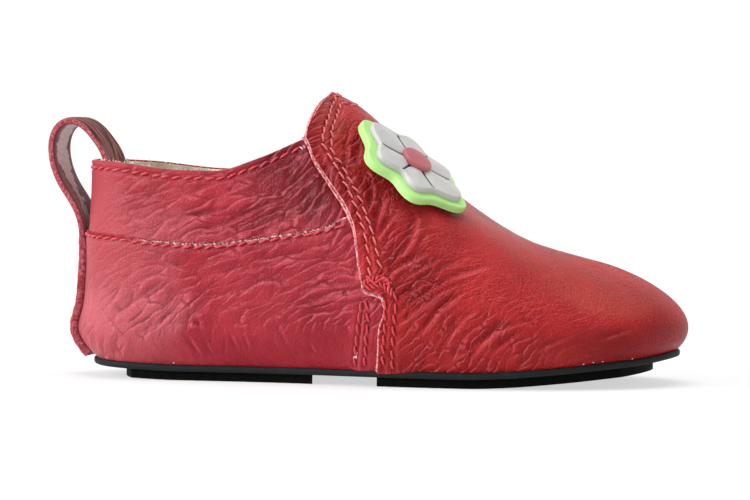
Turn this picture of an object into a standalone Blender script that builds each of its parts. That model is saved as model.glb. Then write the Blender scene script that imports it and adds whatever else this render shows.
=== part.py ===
"""A toddler's soft slip-on barefoot shoe, for the right foot: leather upper, thin rubber sole with two tread
pads, insole, a heel strap that ends in a pull loop, and a rubber badge on the instep.

The upper is drawn as ribs. Each rib climbs from the sole line to the top line, and the top line is the
collar, then the edge of the vamp's tongue, then the ridge of the instep down to the toe. A place on the upper
has two coordinates. "Round" is 0 at the back of the heel and 1 at the toe, negative along the outer side of
the foot. "Rise" is 0 at the sole line and 1 at the top line.

Drawing frame, in millimetres: x = 0 at the back of the heel and grows to the toe, y grows to the inner side
of the foot, z = 0 is the floor. The finished shoe hangs on one empty that centres its footprint.
"""

import bmesh
import bpy
import numpy as np

MM = 0.001

# Driving dimensions, in millimetres
GAP = 0.3               # clearance between pieces that lie on each other
WALL = 1.8              # leather and lining together
VAMP_STEP = 1.2         # the vamp's leather where it laps over the quarters
SEAM_STEP = 0.5         # the lower quarter's edge where it laps over the collar band
RIM_WIDTH = 2.4         # flat lower edge of the upper, which stands on the sole
PAD_THICKNESS = 1.7
SOLE_THICKNESS = 1.2
SOLE_MARGIN = 0.6       # how far the sole shows outside the sole line
PAD_INSET = 0.9         # how far the tread pads stay inside the sole line
INSOLE_THICKNESS = 2.0
HEEL_PAD_START = 15.1   # the heel's tread pad has a bowed back end and a slanting front end
HEEL_PAD_END = 57.0     # on the outer side
HEEL_PAD_SLANT = 8.5    # how much further back its front end lies on the inner side
HEEL_PAD_BOW = 4.5
FOREFOOT_PAD_START = 71.9
FOREFOOT_PAD_END = 124.5
FOREFOOT_PAD_BOW = 4.0
STRAP_WIDTH = 13.0
STRAP_THICKNESS = 1.5
STRAP_FOOT_RISE = 0.05
STRAP_LEAVES_AT = 30.0  # height where the strap leaves the heel and becomes the loop
BADGE_ROUND = 0.678     # where the badge's middle sits, on the outer side of the ridge
BADGE_RISE = 0.70
BADGE_LIFT = 0.75       # height of its underside over the leather at the middle
BADGE_HALF_LENGTH = 13.6
BADGE_HALF_WIDTH = 10.8
BADGE_SCALLOP = 1.2
BADGE_PETALS = 6
BADGE_BASE_THICKNESS = 1.6
BADGE_RELIEF_THICKNESS = 1.0
BADGE_BUTTON_THICKNESS = 0.6
BADGE_BUTTON_RADIUS = 3.6
BADGE_BORDER = 2.2      # width of the base that shows round the relief
BADGE_BEND = 0.006      # how the badge bends down over the vamp's side, per millimetre
BADGE_CURL = 0.003      # how its ends curl up with the hollow of the instep, per millimetre

# Landmarks round the upper
VAMP_CORNER = 0.47      # where the vamp's back edge meets the collar
PEAK = 0.58             # top of the tongue, where the ridge begins
RIDGE_EASE = 0.10
VAMP_LAP = 0.085        # how far round the vamp's lap thins out
VAMP_CUT = 0.0008       # how far round the vamp's cut edge takes
SEAM_LAP = 0.16         # how far down the lower quarter's lap thins out
SEAM_CUT = 0.004        # share of the collar band that the seam's cut edge takes
SEAM_END_RISE = 0.58    # where the seam runs under the vamp
FOOT_LAP = 0.4          # share of a lap that is left where it meets the sole
TOUCH = 1e-6            # rounding allowed when a place is compared with a landmark


def table(columns, *rows):
    """The named columns of a table of sections."""
    return dict(zip(columns.split(), np.array(rows, float).T))


# Height of the sole above its flat stretches: heel rise at the back, toe spring in front
SPRING = table(
    "x rise",
    (-2, 1.1), (8, 0.55), (16, 0.25), (26, 0), (92, 0), (100, 0.3), (110, 1.1), (120, 2.1), (128, 3.0),
    (138, 5.0),
)

# Line where the upper meets the sole, as widths to the outer and the inner side of the foot
SOLE_LINE = table(
    "round x outer inner",
    (0.00, 3.6, 0.0, 0.0),
    (0.07, 6.0, 9.6, 9.6),
    (0.15, 13.6, 16.4, 16.2),
    (0.25, 31.0, 18.8, 18.0),
    (0.36, 51.0, 20.4, 18.2),
    (0.47, 69.5, 24.2, 22.4),
    (0.58, 85.5, 26.6, 26.0),
    (0.68, 99.0, 26.6, 27.4),
    (0.78, 112.0, 24.0, 25.6),
    (0.87, 123.2, 18.0, 20.4),
    (0.94, 130.2, 9.8, 12.6),
    (1.00, 133.4, -1.5, 1.5),
)

# Top line: collar, tongue edge and ridge
COLLAR = table(
    "round x half z",
    (0.00, 2.2, 0.0, 48.1),
    (0.07, 4.2, 8.8, 48.0),
    (0.15, 11.6, 15.8, 47.6),
    (0.25, 27.0, 19.6, 46.0),
    (0.31, 35.0, 20.3, 45.9),
    (0.38, 44.0, 20.8, 48.4),
    (0.47, 55.0, 21.2, 53.0),
)
TONGUE = table(
    "share x half z",
    (0.00, 55.0, 21.2, 53.0),
    (0.25, 55.5, 17.7, 56.9),
    (0.60, 56.2, 9.7, 61.2),
    (1.00, 56.6, 0.0, 63.3),
)
RIDGE = table(
    "share x side z",
    (0.00, 56.6, 0.0, 63.3),
    (0.10, 62.6, 0.0, 60.0),
    (0.20, 68.6, 0.1, 54.4),
    (0.30, 74.4, 0.2, 48.7),
    (0.40, 80.2, 0.3, 43.4),
    (0.50, 86.4, 0.4, 38.5),
    (0.60, 92.8, 0.5, 34.4),
    (0.70, 99.0, 0.7, 31.4),
    (0.80, 105.0, 0.9, 29.4),
    (0.90, 111.0, 1.2, 27.8),
    (1.00, 116.5, 1.5, 26.4),
)

# Shape of each rib: "flare" is its angle above the floor where it leaves the sole line and "crown" its angle
# below level at the top, "reach" and "shoulder" say how far each holds, and "sweep" turns the top forwards
RIBS = table(
    "round flare reach crown shoulder sweep",
    (0.00, 53, 9.0, 90, 22.0, 0),
    (0.07, 55, 9.6, 90, 20.0, 0),
    (0.15, 58, 12.0, 88, 16.0, 0),
    (0.25, 58, 14.0, 87, 14.0, 2),
    (0.36, 57, 16.0, 84, 14.0, 12),
    (0.47, 57, 16.5, 72, 15.0, 31),
    (0.50, 57, 17.5, 60, 15.5, 33),
    (0.525, 56, 18.5, 37, 16.0, 34),
    (0.55, 56, 19.5, 15, 17.5, 33),
    (0.58, 56, 20.0, 0, 18.5, 30),
    (0.64, 56, 20.0, 0, 15.0, 22),
    (0.70, 56, 19.0, 0, 11.5, 14),
    (0.76, 56, 17.5, 0, 9.5, 6),
    (0.82, 55, 16.0, 0, 9.5, 2),
    (0.88, 53, 15.2, 0, 12.0, 0),
    (0.94, 48, 13.2, 0, 13.0, 0),
    (1.00, 43, 11.4, 0, 10.5, 0),
)

# Back edge of the vamp, with the notch above its foot
VAMP_EDGE = table(
    "rise round",
    (0.00, 0.489), (0.18, 0.510), (0.255, 0.527), (0.275, 0.527), (0.335, 0.504), (0.40, 0.507),
    (0.475, 0.513), (0.525, 0.516), (0.59, 0.514), (0.68, 0.506), (0.78, 0.496), (0.87, 0.486),
    (0.95, 0.480), (1.00, 0.470),
)

# Top edge of the lower quarter
SEAM = table(
    "round z",
    (0.00, 32.6), (0.09, 31.8), (0.165, 31.2), (0.21, 30.3), (0.28, 29.8), (0.35, 30.9),
    (0.43, 32.8), (0.515, 35.0), (1.00, 35.0),
)

# Swelling at the back of the heel
HEEL_SWELL = 2.0
HEEL_SWELL_HEIGHT = 10.0
HEEL_SWELL_SPREAD = 4.5
HEEL_SWELL_ROUND = 0.12
HEEL_SWELL_START = 0.06

# Middle line of the free loop of the heel strap, from the heel to inside the collar
LOOP = table(
    "x z",
    (-0.3, 34.5), (-1.7, 38.6), (-4.0, 42.8), (-5.6, 46.8), (-6.1, 51.0), (-5.2, 54.4), (-3.2, 56.3),
    (-0.6, 56.4), (1.4, 54.9), (3.0, 52.6), (4.5, 50.0), (5.5, 47.0), (5.6, 43.0),
)
LOOP_END_HEIGHT = 40.5
LOOP_END_SLACK = 0.15
LOOP_LIFTS_BY = 0.12    # share of the loop's length in which it stops facing as the heel does
LOOP_FLAT_BY = 0.30     # share after which it is flat across
LOOP_CURVES_FROM = 0.72  # share from which it takes the curve of the collar's inside
LOOP_CURVES_IN = 0.16


# Curves through tables

def smooth_curve(knots, values):
    """Natural cubic spline through the values."""
    gaps = np.diff(knots)
    slopes = np.diff(values) / gaps
    count = len(knots)
    system = np.eye(count)
    target = np.zeros(count)
    for i in range(1, count - 1):
        system[i, i - 1:i + 2] = gaps[i - 1], 2 * (gaps[i - 1] + gaps[i]), gaps[i]
        target[i] = 6 * (slopes[i] - slopes[i - 1])
    bends = np.linalg.solve(system, target)

    def at(place):
        i = np.clip(np.searchsorted(knots, place) - 1, 0, count - 2)
        gap, before, after = gaps[i], place - knots[i], knots[i + 1] - place
        curved = (bends[i] * after ** 3 + bends[i + 1] * before ** 3) / (6 * gap)
        start = (values[i] / gap - bends[i] * gap / 6) * after
        end = (values[i + 1] / gap - bends[i + 1] * gap / 6) * before
        return curved + start + end

    return at


def steady_curve(knots, values):
    """Cubic curve through the values that never overshoots, and stays flat between equal values."""
    gaps = np.diff(knots)
    slopes = np.diff(values) / gaps
    turns = slopes[:-1] * slopes[1:] <= 0
    mean = 2 * slopes[:-1] * slopes[1:] / np.where(turns, 1, slopes[:-1] + slopes[1:])
    leans = np.concatenate([slopes[:1], np.where(turns, 0, mean), slopes[-1:]])

    def at(place):
        i = np.clip(np.searchsorted(knots, place) - 1, 0, len(gaps) - 1)
        gap = gaps[i]
        u = np.clip((place - knots[i]) / gap, 0, 1)
        before = values[i] + u * u * (3 - 2 * u) * (values[i + 1] - values[i])
        return before + gap * u * (1 - u) * ((1 - u) * leans[i] - u * leans[i + 1])

    return at


def ring_curve(rows, outer, inner, outer_sign=1.0):
    """Closed curve round the whole shoe, from the toe along the outer side to the heel and back again."""
    places = np.concatenate([-rows["round"][:0:-1], rows["round"]])
    values = np.concatenate([outer_sign * rows[outer][:0:-1], rows[inner]])
    places = np.concatenate([places[:-1] - 2, places, places[1:] + 2])
    values = np.concatenate([values[:-1], values, values[1:]])
    return smooth_curve(places, values)


def curves_of(rows, along):
    """A steady curve for each column of a table."""
    return {name: steady_curve(rows[along], rows[name]) for name in rows if name != along}


def soft_step(value):
    value = np.clip(value, 0, 1)
    return value * value * (3 - 2 * value)


spring = steady_curve(SPRING["x"], SPRING["rise"])
sole_x = ring_curve(SOLE_LINE, "x", "x")
sole_y = ring_curve(SOLE_LINE, "outer", "inner", outer_sign=-1.0)
collar, ribs = curves_of(COLLAR, "round"), curves_of(RIBS, "round")
tongue, ridge = curves_of(TONGUE, "share"), curves_of(RIDGE, "share")
vamp_edge = steady_curve(VAMP_EDGE["rise"], VAMP_EDGE["round"])
seam_height = steady_curve(SEAM["round"], SEAM["z"])

UPPER_FOOT = PAD_THICKNESS + GAP + SOLE_THICKNESS + GAP


# The upper's surface

def wrapped(around):
    return (np.asarray(around, float) + 1) % 2 - 1


def joined(*parts):
    return np.stack(np.broadcast_arrays(*parts), -1)


def unit(vectors):
    return vectors / np.linalg.norm(vectors, axis=-1, keepdims=True)


def sole_point(around, outset=0.0, height=0.0):
    """Point of the sole line, moved out sideways and set at a height above the sprung floor."""
    around = wrapped(around)
    point = joined(sole_x(around), sole_y(around), 0.0) + outset * outward(around)
    point[..., 2] = spring(point[..., 0]) + height
    return point


def outward(around, nudge=1e-3):
    """Level direction that faces away from the shoe at the sole line."""
    along_x = sole_x(around + nudge) - sole_x(around - nudge)
    along_y = sole_y(around + nudge) - sole_y(around - nudge)
    return unit(joined(-along_y, along_x, 0.0))


def tongue_share(far):
    """Share of the tongue's edge passed. It comes to rest at both ends, so the ribs fan round the corners."""
    return soft_step((far - VAMP_CORNER) / (PEAK - VAMP_CORNER))


def ridge_share(far):
    """Share of the ridge passed, from a standstill at the peak."""
    gone = np.clip((far - PEAK) / (1 - PEAK), 0, 1)
    return gone ** 2 * (1 + RIDGE_EASE) / (gone + RIDGE_EASE)


def top_point(around):
    around = wrapped(around)
    side, far = np.sign(around), np.abs(around)
    on_collar, on_tongue = far <= VAMP_CORNER, far <= PEAK

    def pick(name, ridge_name, sign):
        behind = np.where(on_collar, collar[name](far), tongue[name](tongue_share(far))) * sign
        return np.where(on_tongue, behind, ridge[ridge_name](ridge_share(far)))

    return joined(pick("x", "x", 1), pick("half", "side", side), pick("z", "z", 1))


def ridge_slope(around, nudge=4e-3):
    """Fall of the ridge, per millimetre to the toe."""
    share = np.clip(ridge_share(np.abs(wrapped(around))), nudge, 0.96)
    drop = ridge["z"](share + nudge) - ridge["z"](share - nudge)
    return drop / (ridge["x"](share + nudge) - ridge["x"](share - nudge))


def upper_point(around, rise):
    """Outer face of the upper, before any lap of one leather over another."""
    around, rise = np.broadcast_arrays(wrapped(around), np.asarray(rise, float))
    far = np.abs(around)
    shape = {name: curve(far) for name, curve in ribs.items()}
    flare, crown, sweep = (np.radians(shape[name]) for name in ("flare", "crown", "sweep"))
    out = outward(around)
    up, ahead = np.array([0.0, 0.0, 1.0]), np.array([1.0, 0.0, 0.0])
    foot = sole_point(around, height=UPPER_FOOT)
    top = top_point(around)
    rising = np.cos(flare)[..., None] * out + np.sin(flare)[..., None] * up
    lower = foot + shape["reach"][..., None] * rising
    level = (np.cos(sweep) * np.cos(crown))[..., None] * out + np.sin(sweep)[..., None] * ahead
    fall = -np.cos(sweep) * np.sin(crown) + ridge_slope(around) * level[..., 0]
    upper = top + shape["shoulder"][..., None] * unit(level + fall[..., None] * up)
    t = rise[..., None]
    point = (1 - t) ** 3 * foot + 3 * t * (1 - t) ** 2 * lower + 3 * t * t * (1 - t) * upper + t ** 3 * top
    above = (point[..., 2] - HEEL_SWELL_HEIGHT) / HEEL_SWELL_SPREAD
    swell = HEEL_SWELL * np.exp(-above ** 2 - (far / HEEL_SWELL_ROUND) ** 2)
    return point + (swell * soft_step(rise / HEEL_SWELL_START))[..., None] * out


def upper_normal(around, rise, nudge=2e-3):
    """Direction that faces out of the upper."""
    low, high = np.clip(rise - nudge, 0, 1), np.clip(rise + nudge, 0, 1)
    along = upper_point(around + nudge, rise) - upper_point(around - nudge, rise)
    climb = upper_point(around, high) - upper_point(around, low)
    on_ridge = (np.abs(wrapped(around)) >= PEAK - TOUCH) & (rise > 1 - TOUCH)
    slope = ridge_slope(around)
    crest = joined(-slope, 0.0, 1.0)
    return unit(np.where(on_ridge[..., None], crest, np.cross(climb, along)))


def rise_at_height(around, height):
    """Rise at which a rib reaches a height."""
    steps = np.linspace(0, 1, 241)
    rows = upper_point(np.asarray(around)[..., None], steps)[..., 2]
    heights = np.broadcast_to(height, len(rows))
    return np.array([np.interp(level, row, steps) for level, row in zip(heights, rows)])


def quarter_lap(below_seam):
    """Thickness that the lower quarter's lapped edge adds, by the rise left to its seam."""
    return SEAM_STEP * (1 - soft_step(below_seam / SEAM_LAP))


# Solids

def make_solid(name, points, faces, material):
    """Object made of points in millimetres, welded and closed, with its faces pointing out."""
    mesh = bpy.data.meshes.new(name)
    mesh.from_pydata([tuple(point) for point in np.asarray(points) * MM], [], [tuple(face) for face in faces])
    shape = bmesh.new()
    shape.from_mesh(mesh)
    bmesh.ops.remove_doubles(shape, verts=shape.verts, dist=0.02 * MM)
    bmesh.ops.dissolve_degenerate(shape, edges=shape.edges, dist=0.01 * MM)
    bmesh.ops.recalc_face_normals(shape, faces=shape.faces)
    shape.to_mesh(mesh)
    shape.free()
    mesh.shade_smooth()
    mesh.set_sharp_from_angle(angle=np.radians(38))
    mesh.materials.append(material)
    solid = bpy.data.objects.new(name, mesh)
    bpy.context.scene.collection.objects.link(solid)
    return solid


def grid_faces(numbers):
    """Four-sided faces over a grid of point numbers."""
    a, b = numbers[:-1, :-1], numbers[1:, :-1]
    c, d = numbers[1:, 1:], numbers[:-1, 1:]
    return np.stack([a, b, c, d], -1).reshape(-1, 4).tolist()


def thick_sheet(name, face, back, material):
    """Solid between two grids of points, closed round its four sides."""
    rows, columns = face.shape[:2]
    front = np.arange(rows * columns).reshape(rows, columns)
    rear = front + rows * columns
    faces = grid_faces(front) + grid_faces(rear[::-1])
    for edge in (np.s_[:, 0], np.s_[:, -1], np.s_[0, :], np.s_[-1, :]):
        faces += grid_faces(np.stack([front[edge], rear[edge]]))
    points = np.concatenate([face.reshape(-1, 3), back.reshape(-1, 3)])
    return make_solid(name, points, faces, material)


def finish(name, colour, roughness):
    material = bpy.data.materials.new(name)
    material.use_nodes = True
    shader = material.node_tree.nodes["Principled BSDF"]
    shader.inputs["Base Color"].default_value = (*colour, 1.0)
    shader.inputs["Roughness"].default_value = roughness
    shader.inputs["Metallic"].default_value = 0.0
    return material


def upper_grid(quarter_columns=17, tongue_columns=7, ridge_columns=18, lower_rows=11, upper_rows=6):
    """Round, rise and leather lap at each corner of the upper's mesh. One pair of columns carries the vamp's
    edge and one pair of rows the quarter's seam, so both laps are crisp steps."""
    peak_share = (PEAK - VAMP_CORNER) / (1 - VAMP_CORNER)
    behind = np.linspace(0, 1, quarter_columns + 1)
    ahead = np.concatenate([
        np.linspace(0, peak_share, tongue_columns + 1), np.linspace(peak_share, 1, ridge_columns + 1)[1:]])
    back_share = np.concatenate([behind, np.ones(len(ahead))])[:, None]
    front_share = np.concatenate([np.zeros(len(behind)), ahead])[:, None]
    on_vamp = (np.arange(len(back_share)) > quarter_columns)[:, None]

    seam_rounds = back_share[:, 0] * vamp_edge(SEAM_END_RISE)
    seam = rise_at_height(seam_rounds, seam_height(seam_rounds))[:, None]
    below = seam * np.linspace(0, 1, lower_rows + 1)
    above = seam + (1 - seam) * np.linspace(SEAM_CUT, 1, upper_rows + 1)
    rise = np.concatenate([below, above], axis=1)
    edge = vamp_edge(rise)
    around = edge * back_share + (1 - edge) * front_share
    around = around + VAMP_CUT * (on_vamp & (front_share == 0))

    below_seam = np.arange(rise.shape[1]) <= lower_rows
    vamp_lap = VAMP_STEP * (1 - soft_step((around - edge) / VAMP_LAP))
    return around, rise, np.where(on_vamp, vamp_lap, below_seam * quarter_lap(seam - rise))


def make_upper(material):
    """One hollow wall, open at the collar and throat and underneath."""
    around, rise, lap = upper_grid()
    around = np.concatenate([-around[:0:-1], around])
    rise = np.concatenate([rise[:0:-1], rise])
    lap = np.concatenate([lap[:0:-1], lap])

    surface, normal = upper_point(around, rise), upper_normal(around, rise)
    outside = surface + lap[..., None] * normal
    outside[:, 0] += outward(around[:, 0]) * (FOOT_LAP * lap[:, :1]) - normal[:, 0] * lap[:, :1]
    inside = surface - WALL * normal
    rim = sole_point(around[:, :1], outset=-RIM_WIDTH, height=UPPER_FOOT)
    inside = np.concatenate([rim, inside[:, 1:]], axis=1)

    columns, rows = around.shape
    outer = np.arange(columns * rows).reshape(columns, rows)
    inner = outer + columns * rows
    open_edge = np.abs(around[:, -1]) < PEAK + TOUCH
    faces = grid_faces(outer) + grid_faces(inner[::-1])
    faces += grid_faces(np.stack([outer[:, 0], inner[:, 0]]))
    faces += grid_faces(np.stack([outer[open_edge, -1], inner[open_edge, -1]]))
    points = np.concatenate([outside.reshape(-1, 3), inside.reshape(-1, 3)])
    return make_solid("upper", points, faces, material)


def floor_plate(name, material, rounds, inset, bottom, thickness, across=7, back_bow=0.0, front_bow=0.0,
                inner_rounds=None):
    """Plate along the sole line between two rounds, as sprung as the sole. Its ends may be bowed, and they slant
    where the inner side has rounds of its own."""
    outer_edge = sole_point(-rounds, outset=-inset)
    inner_edge = sole_point(rounds if inner_rounds is None else inner_rounds, outset=-inset)
    share = np.linspace(0, 1, across)[None, :, None]
    face = outer_edge[:, None] * (1 - share) + inner_edge[:, None] * share
    arch = 1 - (2 * share[..., 0] - 1) ** 2
    along = np.linspace(0, 1, len(rounds))[:, None]
    face[..., 0] += arch * (front_bow * along ** 4 - back_bow * (1 - along) ** 4)
    face[..., 2] = spring(face[..., 0]) + bottom
    back = face + np.array([0.0, 0.0, thickness])
    return thick_sheet(name, back, face, material)


def rounds_between(start, end, count):
    """Rounds along the sole line whose points lie between two places along the shoe."""
    fine = np.linspace(0, 1, 801)
    first, last = np.interp([start, end], sole_x(fine), fine)
    return np.linspace(first, last, count)


def make_sole(rubber):
    rounds = 0.5 - 0.5 * np.cos(np.linspace(0, np.pi, 33))
    bottom = PAD_THICKNESS + GAP
    return floor_plate("sole", rubber, rounds, -SOLE_MARGIN, bottom, SOLE_THICKNESS)


def make_pads(rubber):
    rounds = rounds_between(HEEL_PAD_START, HEEL_PAD_END, 14)
    inner_rounds = rounds_between(HEEL_PAD_START, HEEL_PAD_END - HEEL_PAD_SLANT, 14)
    heel = floor_plate(
        "tread_heel", rubber, rounds, PAD_INSET, 0.0, PAD_THICKNESS, back_bow=HEEL_PAD_BOW, inner_rounds=inner_rounds)
    rounds = rounds_between(FOREFOOT_PAD_START, FOREFOOT_PAD_END, 20)
    forefoot = floor_plate(
        "tread_forefoot", rubber, rounds, PAD_INSET, 0.0, PAD_THICKNESS, front_bow=FOREFOOT_PAD_BOW)
    return heel, forefoot


def make_insole(fleece):
    rounds = 0.5 - 0.5 * np.cos(np.linspace(0, np.pi, 29))
    return floor_plate("insole", fleece, rounds, RIM_WIDTH + GAP, UPPER_FOOT, INSOLE_THICKNESS)


def heel_round(width, rise):
    """Round at which the heel's face lies a given distance to the side."""
    steps = np.linspace(-0.15, 0.15, 121)
    rows = upper_point(steps, np.asarray(rise)[..., None])[..., 1]
    return np.array([np.interp(width, row, steps) for row in rows])


def make_strap(material, attached_rows=9, loop_rows=34, across=7):
    """Strap sewn up the back of the heel, which turns over in a free loop and ends inside the collar."""
    widths = np.linspace(-STRAP_WIDTH / 2, STRAP_WIDTH / 2, across)
    half = STRAP_THICKNESS / 2
    top_rise = float(rise_at_height(np.array([0.0]), STRAP_LEAVES_AT)[0])
    rise = np.linspace(STRAP_FOOT_RISE, top_rise, attached_rows)
    around = heel_round(widths, rise)
    rise = np.broadcast_to(rise[:, None], around.shape)
    normal = upper_normal(around, rise)
    seam_rise = rise_at_height(np.array([0.0]), SEAM["z"][0])
    lap = quarter_lap(seam_rise - rise)[..., None]
    sewn = upper_point(around, rise) + (lap + GAP + half) * normal

    middle = across // 2
    end_rise = rise_at_height(np.array([0.0]), LOOP_END_HEIGHT)
    end_round = heel_round(widths, end_rise)[0]
    wall_side = WALL + GAP + half + LOOP_END_SLACK
    inside_wall = upper_point(end_round, end_rise[0])
    inside_wall = inside_wall - wall_side * upper_normal(end_round, end_rise[0])
    start, end = sewn[-1, middle], inside_wall[middle]
    path_x = np.concatenate([[start[0]], LOOP["x"], [end[0]]])
    path_z = np.concatenate([[start[2]], LOOP["z"], [end[2]]])
    length = np.concatenate([[0], np.cumsum(np.hypot(np.diff(path_x), np.diff(path_z)))])
    at = np.linspace(0, length[-1], loop_rows)
    x, z = smooth_curve(length, path_x)(at), smooth_curve(length, path_z)(at)
    slope_x, slope_z = np.gradient(x, at), np.gradient(z, at)

    # The strap is curved across on the heel, flat in the loop, and curved again inside the collar
    share = at / length[-1]
    heel_curve, wall_curve = sewn[-1, :, 0] - start[0], inside_wall[:, 0] - end[0]
    bow = np.outer(1 - soft_step(share / LOOP_FLAT_BY), heel_curve)
    bow = bow + np.outer(soft_step((share - LOOP_CURVES_FROM) / LOOP_CURVES_IN), wall_curve)
    free = joined(x[:, None] + bow, widths[None, :], z[:, None])
    turn = unit(joined(-slope_z, 0.0, slope_x))[:, None]
    fade = (1 - soft_step(share / LOOP_LIFTS_BY))[:, None, None]
    lie = unit(normal[-1][None] * fade + turn * (1 - fade))

    middle_face = np.concatenate([sewn, free[1:]])
    lie = np.concatenate([normal, lie[1:]])
    return thick_sheet("heel_strap", middle_face + half * lie, middle_face - half * lie, material)


def badge_frame():
    """Middle of the badge on the vamp, and its downhill, sideways and outward directions."""
    seat = upper_point(-BADGE_ROUND, BADGE_RISE)
    face = upper_normal(-BADGE_ROUND, np.float64(BADGE_RISE))
    downhill = unit(np.array([1.0, 0.0, float(ridge_slope(BADGE_ROUND))]))
    downhill = unit(downhill - face * (face @ downhill))
    return seat, downhill, np.cross(face, downhill), face


def badge_layer(name, material, radius_at, bottom, thickness, rings=2, spokes=60):
    """Layer of the badge with a rounded outline, bent a little to the shape of the vamp."""
    seat, downhill, sideways, face = badge_frame()
    angle = np.linspace(0, 2 * np.pi, spokes + 1)
    share = np.linspace(0, 1, rings + 1)[:, None]
    along = share * radius_at(angle) * np.cos(angle)
    aside = share * radius_at(angle) * np.sin(angle)
    flat = seat + along[..., None] * downhill + aside[..., None] * sideways
    height = (bottom - BADGE_BEND * aside ** 2 + BADGE_CURL * along ** 2)[..., None]
    return disc_solid(name, flat + (height + thickness) * face, flat + height * face, material)


def disc_solid(name, top, under, material):
    """Solid between two discs given as rings of points, the first ring being the middle."""
    rows, columns = top.shape[:2]
    upper_numbers = np.arange(rows * columns).reshape(rows, columns)
    lower_numbers = upper_numbers + rows * columns
    faces = grid_faces(upper_numbers) + grid_faces(lower_numbers[::-1])
    faces += grid_faces(np.stack([upper_numbers[-1], lower_numbers[-1]]))
    points = np.concatenate([top.reshape(-1, 3), under.reshape(-1, 3)])
    return make_solid(name, points, faces, material)


def make_badge(base_rubber, relief_rubber, button_rubber):
    """Soft rubber badge in three layers: scalloped base, flower in relief, round button."""

    def scalloped(border):
        def radius(angle):
            oval = np.hypot(np.cos(angle) / BADGE_HALF_LENGTH, np.sin(angle) / BADGE_HALF_WIDTH) ** -1
            return oval - border + BADGE_SCALLOP * np.cos(BADGE_PETALS * angle)
        return radius

    foot = BADGE_LIFT
    base = badge_layer("badge_base", base_rubber, scalloped(0.0), foot, BADGE_BASE_THICKNESS)
    foot = foot + BADGE_BASE_THICKNESS + GAP
    relief = badge_layer("badge_flower", relief_rubber, scalloped(BADGE_BORDER), foot, BADGE_RELIEF_THICKNESS)
    foot = foot + BADGE_RELIEF_THICKNESS + GAP
    button = badge_layer(
        "badge_button", button_rubber, lambda angle: np.full_like(angle, BADGE_BUTTON_RADIUS), foot,
        BADGE_BUTTON_THICKNESS, rings=1, spokes=32)
    return base, relief, button


def centre_on_floor(pieces):
    """Hang every piece on one empty that brings the footprint's middle to the origin."""
    corners = np.array([vertex.co for piece in pieces for vertex in piece.data.vertices])
    middle = (corners.min(axis=0) + corners.max(axis=0)) / 2
    frame = bpy.data.objects.new("shoe", None)
    bpy.context.scene.collection.objects.link(frame)
    frame.location = (-middle[0], -middle[1], 0.0)
    for piece in pieces:
        piece.parent = frame


def build():
    for thing in list(bpy.data.objects):
        bpy.data.objects.remove(thing)
    red = finish("red_leather", (0.36, 0.035, 0.045), roughness=0.45)
    black = finish("black_rubber", (0.012, 0.012, 0.012), roughness=0.6)
    grey = finish("grey_sole_rubber", (0.035, 0.037, 0.04), roughness=0.65)
    fleece = finish("cream_fleece", (0.66, 0.56, 0.42), roughness=0.95)
    lime = finish("lime_rubber", (0.38, 0.82, 0.2), roughness=0.4)
    silver = finish("pale_grey_rubber", (0.52, 0.51, 0.49), roughness=0.45)
    pink = finish("pink_rubber", (0.72, 0.16, 0.2), roughness=0.45)

    pieces = [make_upper(red), make_sole(grey), make_insole(fleece), make_strap(red)]
    pieces += make_pads(black)
    pieces += make_badge(lime, silver, pink)
    centre_on_floor(pieces)


if __name__ == "__main__":
    build()
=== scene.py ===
# %% [markdown]
# # Dressing a toddler's barefoot shoe
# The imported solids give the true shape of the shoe: a hollow upper, a thin sole, two tread pads, an insole, a
# strap at the heel and a badge. This lesson dresses them. Every soft piece is drawn again on the same surface,
# finer, with its folds, cut edges and stitches, and hides the solid that it stands for.

# %% Load the solids
import bmesh
import bpy
import numpy as np
from mathutils import Matrix, Vector


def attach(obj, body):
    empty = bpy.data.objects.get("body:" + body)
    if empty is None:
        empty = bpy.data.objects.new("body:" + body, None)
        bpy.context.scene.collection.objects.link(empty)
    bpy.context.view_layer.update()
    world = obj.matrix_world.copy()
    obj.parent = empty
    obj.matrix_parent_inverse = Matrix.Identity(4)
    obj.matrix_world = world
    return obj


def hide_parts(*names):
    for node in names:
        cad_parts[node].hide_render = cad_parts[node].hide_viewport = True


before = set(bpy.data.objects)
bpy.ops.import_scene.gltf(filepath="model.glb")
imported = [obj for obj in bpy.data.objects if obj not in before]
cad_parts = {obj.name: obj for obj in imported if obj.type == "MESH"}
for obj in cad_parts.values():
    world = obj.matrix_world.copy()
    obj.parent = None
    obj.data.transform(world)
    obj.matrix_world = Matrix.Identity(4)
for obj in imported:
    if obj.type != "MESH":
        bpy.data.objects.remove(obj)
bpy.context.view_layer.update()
MM = 0.001
SHOE_TO_FRAME = np.array([-64.488, 0.232, 0.0])   # drawing millimetres to the middle of the footprint
print("solids", sorted(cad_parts))

# %% [markdown]
# ## Curves through a few measured places
# A shoemaker draws a last from a handful of sections. A curve through those places can bend freely, as a natural
# spline does, or hold back from overshooting. The outline of the sole needs the first kind and the heights and
# angles need the second, so both are written here in a few lines.

# %% Curves
def table(columns, *rows):
    return dict(zip(columns.split(), np.array(rows, float).T))


def smooth_curve(knots, values):
    """Natural cubic spline."""
    gaps = np.diff(knots)
    slopes = np.diff(values) / gaps
    count = len(knots)
    system, target = np.eye(count), np.zeros(count)
    for i in range(1, count - 1):
        system[i, i - 1:i + 2] = gaps[i - 1], 2 * (gaps[i - 1] + gaps[i]), gaps[i]
        target[i] = 6 * (slopes[i] - slopes[i - 1])
    bends = np.linalg.solve(system, target)

    def at(place):
        i = np.clip(np.searchsorted(knots, place) - 1, 0, count - 2)
        gap, before, after = gaps[i], place - knots[i], knots[i + 1] - place
        curved = (bends[i] * after ** 3 + bends[i + 1] * before ** 3) / (6 * gap)
        start = (values[i] / gap - bends[i] * gap / 6) * after
        return curved + start + (values[i + 1] / gap - bends[i + 1] * gap / 6) * before

    return at


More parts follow.
